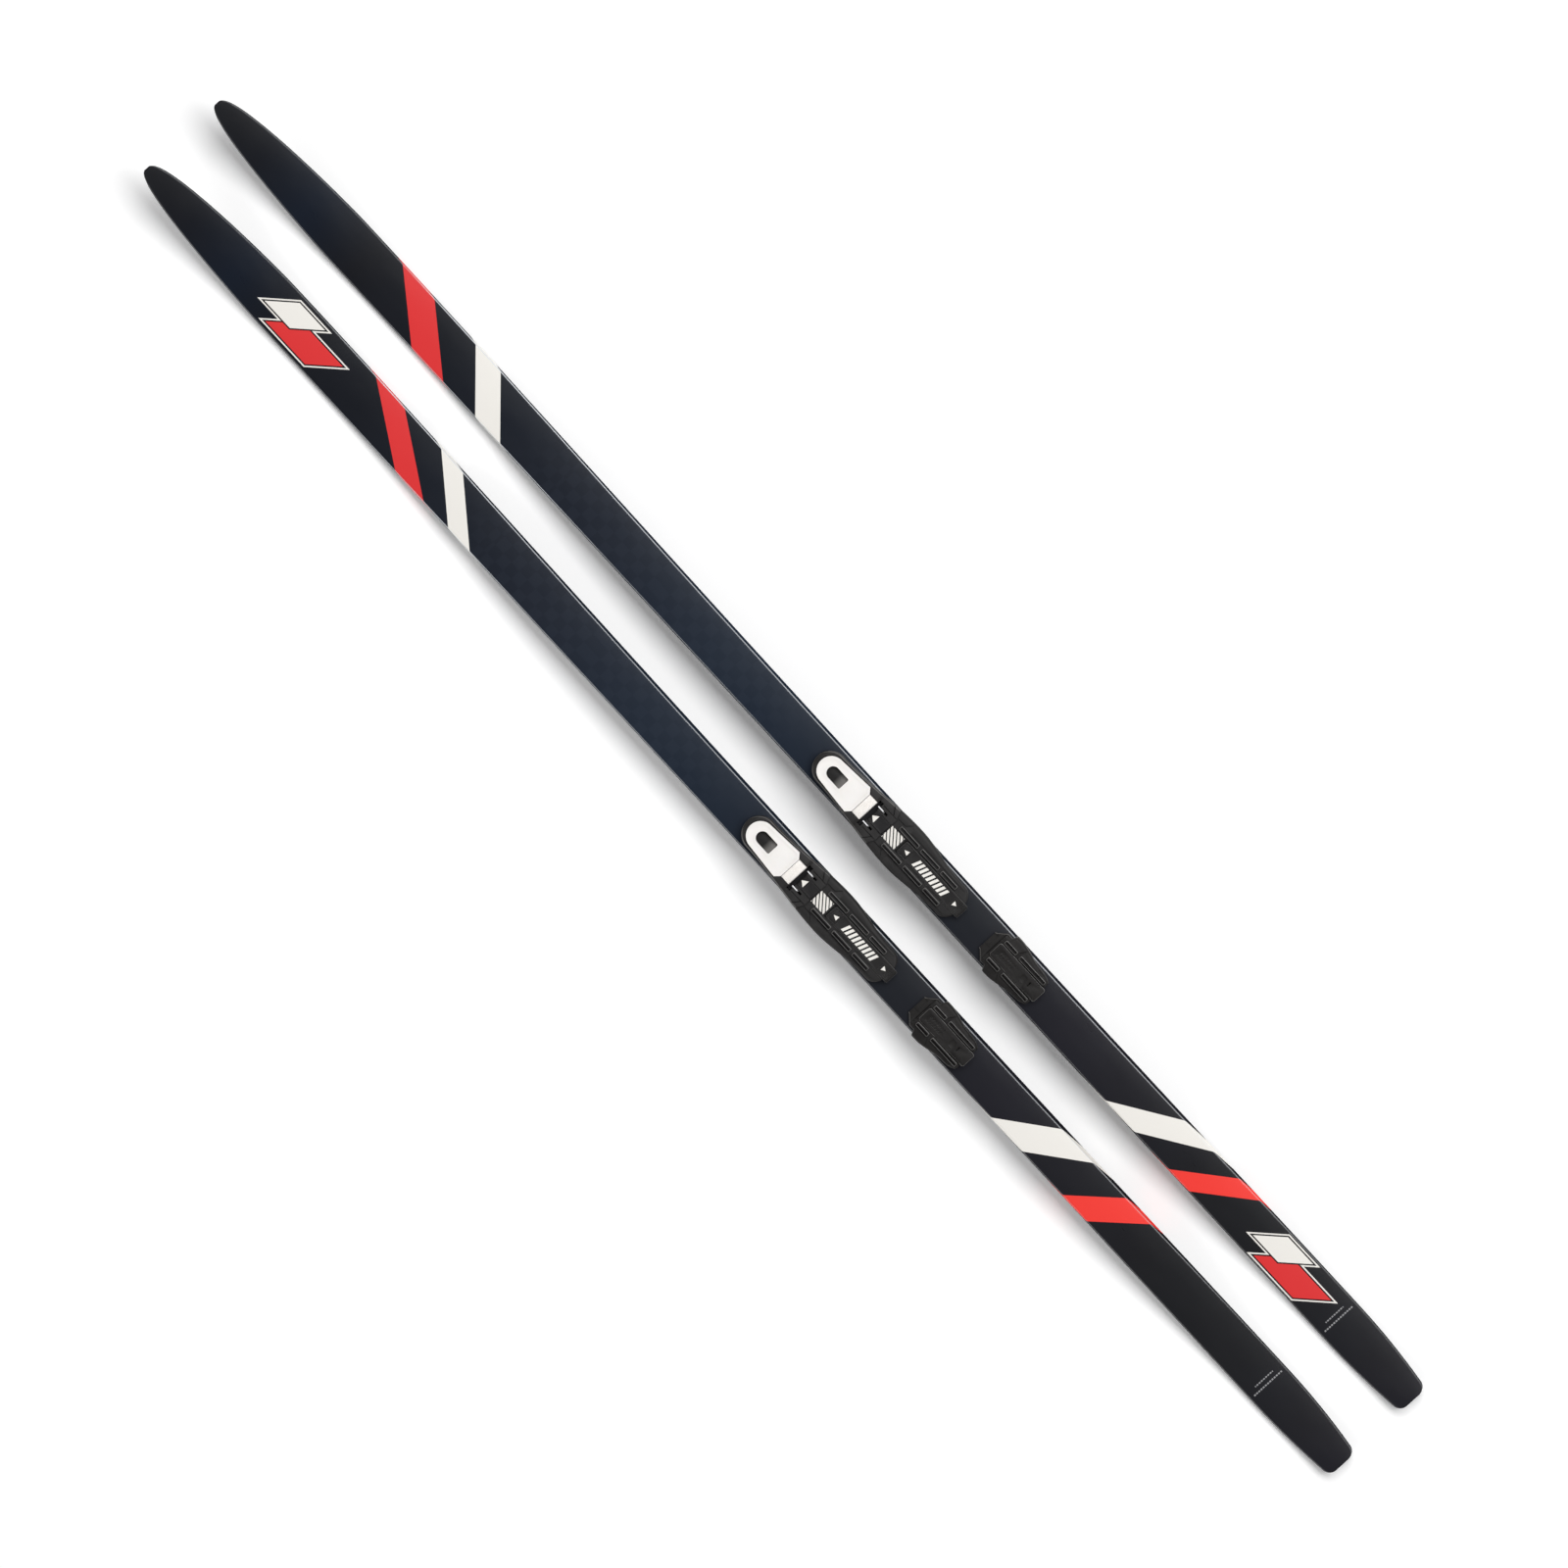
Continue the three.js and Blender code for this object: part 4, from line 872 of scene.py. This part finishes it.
# colour of the topsheet along the ski
TOPSHEET = [
    (-920, (30, 29, 34)), (-770, (29, 29, 31)), (-650, (27, 27, 29)), (-390, (30, 29, 35)),
    (-240, (28, 30, 35)), (30, (29, 37, 49)), (150, (31, 39, 51)), (300, (30, 35, 45)),
    (600, (20, 22, 28)), (700, (19, 20, 25)), (780, (17, 24, 36)), (850, (15, 17, 24)),
    (920, (22, 22, 24)),
]


class Paint:
    """Writes one material's nodes."""

    def __init__(self, name, **shader):
        self.material = bpy.data.materials.new(name)
        self.material.use_nodes = True
        self.tree = self.material.node_tree
        self.shader = self.tree.nodes["Principled BSDF"]
        for socket, value in shader.items():
            self.shader.inputs[socket.replace("_", " ")].default_value = value
        self.place = self.add("ShaderNodeTexCoord").outputs["Object"]

    def add(self, kind, **inputs):
        node = self.tree.nodes.new(kind)
        for socket, value in inputs.items():
            self.feed(node.inputs[socket.replace("_", " ")], value)
        return node

    def feed(self, socket, value):
        if isinstance(value, bpy.types.NodeSocket):
            self.tree.links.new(value, socket)
        else:
            socket.default_value = value

    def axes(self):
        """The place on the ski in mm, as three numbers."""
        split = self.add("ShaderNodeSeparateXYZ", Vector=self.place)
        return [self.product(split.outputs[i], 1 / MM) for i in range(3)]

    def math(self, operation, *values):
        node = self.add("ShaderNodeMath")
        node.operation = operation
        for socket, value in zip(node.inputs, values):
            self.feed(socket, value)
        return node.outputs[0]

    def stored(self, name):
        """A number kept in the mesh at each point."""
        node = self.add("ShaderNodeAttribute")
        node.attribute_name = name
        return node.outputs["Fac"]

    def within(self, value, low, high):
        """1 where value lies between low and high, else 0."""
        above = self.math("GREATER_THAN", value, low)
        return self.product(above, self.math("LESS_THAN", value, high))

    def product(self, a, *rest):
        for b in rest:
            a = self.math("MULTIPLY", a, b)
        return a

    def either(self, a, *rest):
        for b in rest:
            a = self.math("MAXIMUM", a, b)
        return a

    def noise(self, scale, detail=3.0, roughness=0.5, stretch=(1, 1, 1)):
        """A noise of so many features a metre, drawn out along the axes with a low stretch."""
        mapping = self.add("ShaderNodeMapping", Vector=self.place, Scale=stretch)
        node = self.add("ShaderNodeTexNoise", Vector=mapping.outputs[0], Scale=scale, Detail=detail,
                        Roughness=roughness)
        return node.outputs[0]

    def spread(self, value, low, high, start=0.24, end=0.76):
        """Value from start to end, drawn to low to high."""
        node = self.add("ShaderNodeMapRange")
        for socket, number in zip(node.inputs, (value, start, end, low, high)):
            self.feed(socket, number)
        return node.outputs[0]

    def blend(self, factor, a, b):
        node = self.add("ShaderNodeMix")
        node.data_type = "RGBA"
        self.feed(node.inputs[0], factor)
        self.feed(node.inputs[6], a)
        self.feed(node.inputs[7], b)
        return node.outputs[2]

    def shades(self, value, dark, light, *run):
        """One colour to another, both in sRGB, as value runs from start to end."""
        return self.blend(self.spread(value, 0, 1, *run), linear(*dark), linear(*light))

    def flecks(self, value, most, start, end, colour, rgb):
        """Another colour, at most so strong, where value is high."""
        return self.blend(self.spread(value, 0, most, start, end), colour, linear(*rgb))

    def repeated(self, value, start, pitch):
        """From 0 to 1 over each pitch."""
        return self.math("FRACT", self.math("DIVIDE", self.math("SUBTRACT", value, start), pitch))

    def faded(self, amount, x, start, full, falling, gone):
        """Amount along one part of the ski only."""
        return self.product(amount, self.spread(x, 0, 1, start, full), self.spread(x, 1, 0, falling, gone))

    def gradient(self, value, stops):
        """Colours at places from 0 to 1."""
        node = self.add("ShaderNodeValToRGB", Fac=value)
        ramp = node.color_ramp
        while len(ramp.elements) < len(stops):
            ramp.elements.new(0.5)
        for element, (at, colour) in zip(ramp.elements, stops):
            element.position = at
            element.color = colour
        return node.outputs[0]

    def colour(self, value):
        self.feed(self.shader.inputs["Base Color"], value)

    def rough(self, value, least, most, *run):
        self.feed(self.shader.inputs["Roughness"], self.spread(value, least, most, *run))

    def bump(self, height, distance):
        """Relief in metres for a height from 0 to 1. Gives back the material, which is then done."""
        node = self.add("ShaderNodeBump", Height=height, Strength=1.0, Distance=distance)
        self.feed(self.shader.inputs["Normal"], node.outputs[0])
        return self.material


# how strongly a highlight is painted pale onto the topsheet's two edges, along the ski
EDGE_HIGHLIGHT = {
    "right": [(-800, 0.04), (-650, 0.22), (-420, 0.42), (250, 0.5), (430, 0.8), (590, 0.9), (680, 0.1)],
    "left": [(-800, 0.02), (-30, 0.06), (20, 0.2), (300, 0.28), (430, 0.8), (490, 0.6), (680, 0.08)],
}
# the faint woven squares between the binding and the front stripes fade in and out here
SQUARES = (20, 80, 380, 460)
SQUARE_SIZE = 12.5
# part of the cap: specular level, and the least and most roughness
CAP_FINISHES = {"top": (0.25, 0.25, 0.35), "edge": (0.8, 0.14, 0.24), "wall": (0.0, 0.6, 0.8)}


def share_of_length(x):
    """How far x lies along the ski, from 0 at the tail to 1 at the tip."""
    return (x + HALF_LENGTH) / (2 * HALF_LENGTH)


def topsheet(side, part):
    """Printed topsheet of one ski: lacquered on top, polished at its edges and painted there with a pale
    highlight, matt on the side walls.
    """
    specular, smoothest, roughest = CAP_FINISHES[part]
    paint = Paint(f"topsheet_{part}_{side}", Specular_IOR_Level=specular)
    x = paint.axes()[0]
    y = paint.stored(WRAPPED_Y)
    along = paint.math("DIVIDE", paint.math("ADD", x, HALF_LENGTH), 2 * HALF_LENGTH)
    colour = paint.gradient(along, [(share_of_length(at), linear(*rgb)) for at, rgb in TOPSHEET])

    check = paint.add("ShaderNodeTexChecker", Vector=paint.place, Scale=1 / (SQUARE_SIZE * MM))
    squares = paint.faded(check.outputs["Fac"], x, *SQUARES)
    colour = paint.blend(paint.product(squares, 0.05), colour, linear(70, 78, 92))
    colour = paint.blend(paint.spread(paint.noise(9, 1), 0, 0.1), colour, linear(40, 46, 58))

    for name, rear, front, lean in STRIPES[side]:
        level = paint.math("SUBTRACT", x, paint.product(y, lean))
        colour = paint.blend(paint.within(level, rear, front), colour, COLOURS[name])

    def tile(centre, length, low, high, grow):
        level = paint.math("SUBTRACT", x, paint.product(y, EMBLEM_LEAN))
        slant = grow * math.hypot(1, EMBLEM_LEAN)
        middle = EMBLEM_X[side] + centre
        reach = length / 2 + slant
        return paint.product(paint.within(level, middle - reach, middle + reach),
                          paint.within(y, low - grow, high + grow))

    frame_line = paint.either(*[tile(*place, EMBLEM_GAP + EMBLEM_LINE) for name, *place in EMBLEM_TILES])
    colour = paint.blend(frame_line, colour, COLOURS["white"])
    for name, *place in EMBLEM_TILES:
        colour = paint.blend(tile(*place, EMBLEM_GAP), colour, linear(*TOPSHEET[-1][1]))
        colour = paint.blend(tile(*place, 0), colour, COLOURS[name])

    dash = paint.math("LESS_THAN", paint.repeated(y, SIZE_MARK_START, SIZE_MARK_PITCH), SIZE_MARK_SHARE)
    for rear, front, half in SIZE_MARKS:
        row = paint.product(paint.within(x, rear, front), paint.within(y, -half, half), dash)
        colour = paint.blend(row, colour, COLOURS["mark"])

    # painted highlight: the edge strips are painted pale, more on one flank than the other and more in
    # some stretches of the ski
    if part == "edge":
        right, left = (paint.gradient(along, [(share_of_length(at), (highlight, highlight, highlight, 1))
                                              for at, highlight in EDGE_HIGHLIGHT[flank]])
                       for flank in ("right", "left"))
        edge_highlight = paint.blend(paint.math("GREATER_THAN", y, 0), right, left)
        colour = paint.blend(edge_highlight, colour, linear(206, 210, 215))

    paint.colour(colour)
    haze = paint.noise(55, 3, stretch=(0.3, 1, 1))
    paint.rough(haze, smoothest, roughest, 0.1, 0.9)
    grain = paint.noise(2600, 2)
    return paint.bump(paint.math("ADD", paint.product(grain, 0.3), haze), 0.00004)


GRIP_ZONE = (-300, -280, 240, 260)  # where its relief fades in and out


def running_base():
    """Black sintered plastic with fine structure lines along the ski and a grip zone underfoot."""
    paint = Paint("base_plastic", Specular_IOR_Level=0.4)
    x = paint.axes()[0]
    lines = paint.noise(1400, 2, stretch=(0.02, 1, 1))
    cloud = paint.noise(30, 4, stretch=(0.3, 1, 1))
    paint.colour(paint.shades(cloud, (20, 21, 23), (30, 31, 34)))
    scale = paint.add("ShaderNodeTexVoronoi", Vector=paint.place, Scale=140.0)
    grip = paint.faded(scale.outputs["Distance"], x, *GRIP_ZONE)
    paint.rough(lines, 0.38, 0.56)
    height = paint.math("ADD", paint.product(lines, 0.12), grip)
    return paint.bump(height, 0.0003)


def moulded_black(name, marks=None, tint=(30, 29, 29)):
    """Dark moulded plastic with a fine grain, and white where marks(paint, x, y) says: printed marks on
    most pieces, a painted highlight on the lever cup.
    """
    paint = Paint(name, Specular_IOR_Level=0.24)
    cloud = paint.noise(70, 4)
    colour = paint.shades(cloud, [c - 6 for c in tint], [c + 5 for c in tint])
    scuffs = paint.noise(260, 5, 0.65, stretch=(0.25, 1, 1))
    colour = paint.flecks(scuffs, 0.22, 0.58, 0.74, colour, (70, 68, 66))
    if marks is not None:
        x, y = paint.axes()[:2]
        colour = paint.blend(marks(paint, x, y), colour, COLOURS["white"])
    paint.colour(colour)
    paint.rough(cloud, 0.46, 0.6)
    grain = paint.add("ShaderNodeTexVoronoi", Vector=paint.place, Scale=1700.0)
    height = paint.math("ADD", grain.outputs["Distance"], paint.product(scuffs, 0.6))
    return paint.bump(height, 0.00009)


def grained(name, grain, dark, light, roughness, relief, **shader):
    """A plain material whose grain shows in its colour, its sheen and its relief."""
    paint = Paint(name, **shader)
    grain = paint.noise(*grain)
    paint.colour(paint.shades(grain, dark, light))
    paint.rough(grain, *roughness)
    return paint.bump(grain, relief)


def arrow(paint, x, y, tip, foot, height):
    """A printed triangle that points from foot to tip along the ski."""
    share = paint.math("DIVIDE", paint.math("SUBTRACT", x, tip), foot - tip)
    wide = paint.math("LESS_THAN", paint.math("ABSOLUTE", y), paint.product(share, height / 2))
    return paint.product(wide, paint.within(x, min(tip, foot), max(tip, foot)))


def slanted_bars(paint, x, y, rear, front, half, pitch, share, lean, square=False):
    """Printed parallel bars that lean along the ski, in a leaning or a square patch."""
    level = paint.math("SUBTRACT", x, paint.product(y, lean))
    return paint.product(paint.math("LESS_THAN", paint.repeated(level, BARS_START, pitch), share),
                      paint.within(x if square else level, rear, front), paint.within(y, -half, half))


# printed triangles: tip, foot and height
SLIDER_ARROWS = [(-215.7, -211, 5.7), (-136.2, -141.8, 5.4)]
TAB_ARROW = (-86.7, -92.9, 9.1)
# printed bars: rear, front and half width of their patch, pitch, printed share and lean
SLIDER_BARS = (-199, -153, 4.8, 5.2, 0.62, 0.35)
FOOTPLATE_BARS = (-127.9, -109.2, 7.9, 4.9, 0.66, -0.95)
BARS_START = -500


def slider_marks(paint, x, y):
    arrows = [arrow(paint, x, y, *place) for place in SLIDER_ARROWS]
    return paint.either(*arrows, slanted_bars(paint, x, y, *SLIDER_BARS))


def footplate_marks(paint, x, y):
    return slanted_bars(paint, x, y, *FOOTPLATE_BARS, square=True)


def tab_marks(paint, x, y):
    return arrow(paint, x, y, *TAB_ARROW)


def cup_ramp_highlight(paint, x, y):
    """Painted highlight: the rear of the pole tip's ramp is painted paler, as if lit."""
    return paint.spread(x, 0.24, 0, -43, -33)


def lever_plastic():
    """Warm white plastic with faint dirt."""
    paint = Paint("lever_plastic", Specular_IOR_Level=0.5, Subsurface_Weight=0.03)
    cloud = paint.noise(60, 4)
    colour = paint.shades(cloud, (243, 239, 236), (236, 232, 228))
    specks = paint.noise(900, 3, 0.6)
    colour = paint.flecks(specks, 0.18, 0.62, 0.8, colour, (196, 190, 182))
    paint.colour(colour)
    paint.rough(cloud, 0.34, 0.5)
    return paint.bump(paint.math("ADD", specks, cloud), 0.00006)


def white_rubber():
    paint = Paint("flexor_rubber", Specular_IOR_Level=0.3)
    cloud = paint.noise(120, 4)
    pores = paint.noise(1500, 3, 0.6)
    colour = paint.shades(cloud, (246, 243, 239), (236, 232, 227))
    paint.colour(paint.flecks(pores, 0.2, 0.6, 0.78, colour, (176, 170, 160)))
    paint.rough(pores, 0.66, 0.84)
    return paint.bump(pores, 0.0001)


def brushed_steel():
    paint = Paint("brushed_steel", Metallic=1.0)
    lines = paint.noise(1600, 3, 0.6, stretch=(0.06, 1, 1))
    cloud = paint.noise(90, 3)
    paint.colour(paint.shades(cloud, (196, 197, 200), (164, 166, 170)))
    paint.rough(lines, 0.24, 0.42)
    return paint.bump(lines, 0.00003)


def glass_laminate():
    """Resin over crossed glass fibres."""
    paint = Paint("glass_laminate", Coat_Weight=0.2)
    warp = paint.noise(2200, 2, stretch=(0.04, 1, 1))
    weft = paint.noise(2200, 2, stretch=(1, 0.04, 1))
    weave = paint.math("ADD", paint.product(warp, 0.5), paint.product(weft, 0.5))
    paint.colour(paint.shades(weave, (172, 178, 150), (205, 208, 186), 0.4, 0.6))
    paint.rough(weave, 0.36, 0.5)
    return paint.bump(weave, 0.0001)


def core_wood():
    """Light wood with grain along the ski."""
    paint = Paint("core_wood", Specular_IOR_Level=0.3)
    rings = paint.noise(420, 4, 0.6, stretch=(0.03, 1, 0.6))
    pores = paint.noise(3000, 3, 0.6, stretch=(0.03, 1, 1))
    colour = paint.shades(rings, (214, 182, 136), (178, 138, 92))
    paint.colour(paint.flecks(pores, 0.35, 0.55, 0.8, colour, (136, 100, 62)))
    paint.rough(pores, 0.6, 0.8)
    return paint.bump(paint.math("ADD", rings, pores), 0.00012)


def spacer_foam():
    paint = Paint("spacer_foam", Specular_IOR_Level=0.3)
    cells = paint.add("ShaderNodeTexVoronoi", Vector=paint.place, Scale=1100.0).outputs["Distance"]
    cloud = paint.noise(40, 3)
    paint.colour(paint.shades(cloud, (58, 61, 66), (74, 77, 82)))
    paint.rough(cells, 0.6, 0.8, 0, 1)
    return paint.bump(cells, 0.0002)


# ---- pieces on the frame

# the eased edges of the dark mouldings, rubbed lighter and smoother by use, and painted paler still as a
# highlight along the edges
WORN_HIGHLIT_EDGES = grained("binding_edges", (180, 4, 0.6), (68, 67, 66), (102, 100, 98), (0.42, 0.28), 0.00004,
                   Specular_IOR_Level=0.6)
# bright blasted steel that shows light from every side
SATIN_STEEL = grained("satin_steel", (2400, 3, 0.6), (246, 246, 247), (226, 227, 229), (0.56, 0.7),
                      0.00003, Metallic=0.9)
# dark plated steel with the drawing lines showing through
BLACKENED_STEEL = grained("blackened_steel", (1500, 3, 0.6, (1, 0.06, 1)), (26, 26, 28), (44, 44, 46),
                          (0.4, 0.55), 0.00003, Metallic=0.85)
# the material of a piece's faces, then of its eased edges
MATERIALS = {
    "base": [running_base()],
    "cup": [moulded_black("lever_cup", cup_ramp_highlight), WORN_HIGHLIT_EDGES],
    "housing": [moulded_black("binding_housing", tint=(38, 37, 37)), WORN_HIGHLIT_EDGES],
    "footplate": [moulded_black("binding_footplate", footplate_marks, (34, 33, 33)), WORN_HIGHLIT_EDGES],
    "slider": [moulded_black("binding_slider", slider_marks, (30, 29, 29)), WORN_HIGHLIT_EDGES],
    "tab": [moulded_black("binding_tab", tab_marks, (29, 28, 29))],
    "heel": [moulded_black("binding_heel", tint=(23, 21, 20)), WORN_HIGHLIT_EDGES],
    "white": [lever_plastic()],
    "rubber": [white_rubber()],
    "claws": [SATIN_STEEL],
}
TOPSHEETS = {side: [topsheet(side, part) for part in CAP_PARTS] for side in SIDES}

# the function that makes a piece and gives it its name: material, slot, body and shading angle
PIECES = {
    cap: ("topsheet", "topsheet", "ski", 40),
    base_sole: ("base", "base", "ski", 40),
    footplate: ("footplate", "binding_black", "ski", 30),
    toe_housing: ("housing", "binding_black", "ski", 30),
    center_slider: ("slider", "binding_black", "center_slider", 30),
    lock_tab: ("tab", "binding_black", "lock_tab", 30),
    release_lever: ("white", "lever_white", "release_lever", 30),
    lever_insert: ("cup", "binding_black", "release_lever", 30),
    flexor: ("rubber", "flexor_rubber", "ski", 30),
    toe_bar_hook: ("claws", "steel", "toe_bar_hook", 30),
    heel_base: ("heel", "binding_black", "ski", 30),
    heel_pad: ("heel", "binding_black", "ski", 30),
    heel_cover: ("heel", "binding_black", "ski", 30),
}
# the CAD nodes that stay, and their materials
CARRIED_OVER = [
    (glass_laminate(), ["lower_laminate", "upper_laminate"]),
    (core_wood(), ["core"]),
    (spacer_foam(), ["tip_spacer", "tail_spacer"]),
    (moulded_black("binding_black"), ["mounting_plate"]),
    (BLACKENED_STEEL, ["bar_bracket"]),
    (brushed_steel(), ["lever_pin", "lever_spring", "hook_pin", "toe_screw_1", "toe_screw_2",
                       "toe_screw_3", "toe_screw_4", "heel_screw_1", "heel_screw_2"]),
]


def dress(mesh, finishes):
    """Give the mesh its materials, the last one also in the places that are left."""
    while len(mesh.materials) < len(finishes):
        mesh.materials.append(None)
    for i in range(len(mesh.materials)):
        mesh.materials[i] = finishes[min(i, len(finishes) - 1)]


def make_pieces():
    """Each fine piece once, set on both skis in place of its CAD node."""
    for make, (material, slot, body, angle) in PIECES.items():
        name = make.__name__
        shape = make().data
        shape.transform(Matrix.Scale(MM, 4))
        shape.shade_smooth()
        shape.set_sharp_from_angle(angle=math.radians(angle))
        for side, y in SIDES.items():
            mesh = shape.copy()
            dress(mesh, TOPSHEETS[side] if material == "topsheet" else MATERIALS[material])
            piece = added(f"{side}_{name}_fine", mesh)
            piece.location.y = y * MM
            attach(piece, f"{side}_{body}")
            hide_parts(f"{side}_{name}")
        bpy.data.meshes.remove(shape)


def finish_carried_over():
    for material, names in CARRIED_OVER:
        for side in SIDES:
            for name in names:
                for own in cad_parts[f"{side}_{name}"].material_slots:
                    own.material = material


# ---- floor and light

FLOOR_HALF = 8.0
FLOOR_DROP = 0.0002
FLOOR_GLOW = 0.12  # lifts the shadows as a lit sweep of paper does


def make_floor():
    mesh = bpy.data.meshes.new("floor")
    h = FLOOR_HALF
    mesh.from_pydata([(-h, -h, 0), (h, -h, 0), (h, h, 0), (-h, h, 0)], [], [(0, 1, 2, 3)])
    floor = added("floor", mesh)
    floor.location.z = -FLOOR_DROP
    paint = Paint("floor_paper", Specular_IOR_Level=0.1, Roughness=0.9,
                  Emission_Color=linear(255, 255, 255), Emission_Strength=FLOOR_GLOW)
    cloud = paint.noise(2, 2)
    paint.colour(paint.shades(cloud, (254, 254, 254), (252, 252, 252)))
    mesh.materials.append(paint.material)


# place, size and power
LIGHTS = {
    "key_light": ((0.0, -1.9, 3.6), (5.0, 2.2), 160),
    "fill_light": ((0.0, 4.0, 2.6), (4.5, 2.5), 48),
}
# brightness of the room by the sine of the height over the horizon
SKY = [(0.55, (0.5, 0.5, 0.5, 1)), (0.9, (0.08, 0.08, 0.084, 1))]


def area_light(name, place, size, power):
    """A soft box that faces the middle of the skis."""
    data = bpy.data.lights.new(name, "AREA")
    data.shape = "RECTANGLE"
    data.size, data.size_y = size
    data.energy = power
    light = added(name, data)
    light.location = place
    light.rotation_euler = (-Vector(place)).to_track_quat("-Z", "Y").to_euler()


def make_light():
    for name, light in LIGHTS.items():
        area_light(name, *light)
    world = bpy.data.worlds.new("studio")
    world.use_nodes = True
    tree = world.node_tree
    place = tree.nodes.new("ShaderNodeTexCoord").outputs["Generated"]
    split = tree.nodes.new("ShaderNodeSeparateXYZ")
    ramp = tree.nodes.new("ShaderNodeValToRGB")
    tree.links.new(place, split.inputs[0])
    tree.links.new(split.outputs[2], ramp.inputs[0])
    tree.links.new(ramp.outputs[0], tree.nodes["Background"].inputs["Color"])
    for element, (height, colour) in zip(ramp.color_ramp.elements, SKY):
        element.position = height
        element.color = colour
    bpy.context.scene.world = world
    bpy.context.scene.view_settings.view_transform = "Standard"


make_camera()
make_pieces()
finish_carried_over()
make_floor()
make_light()
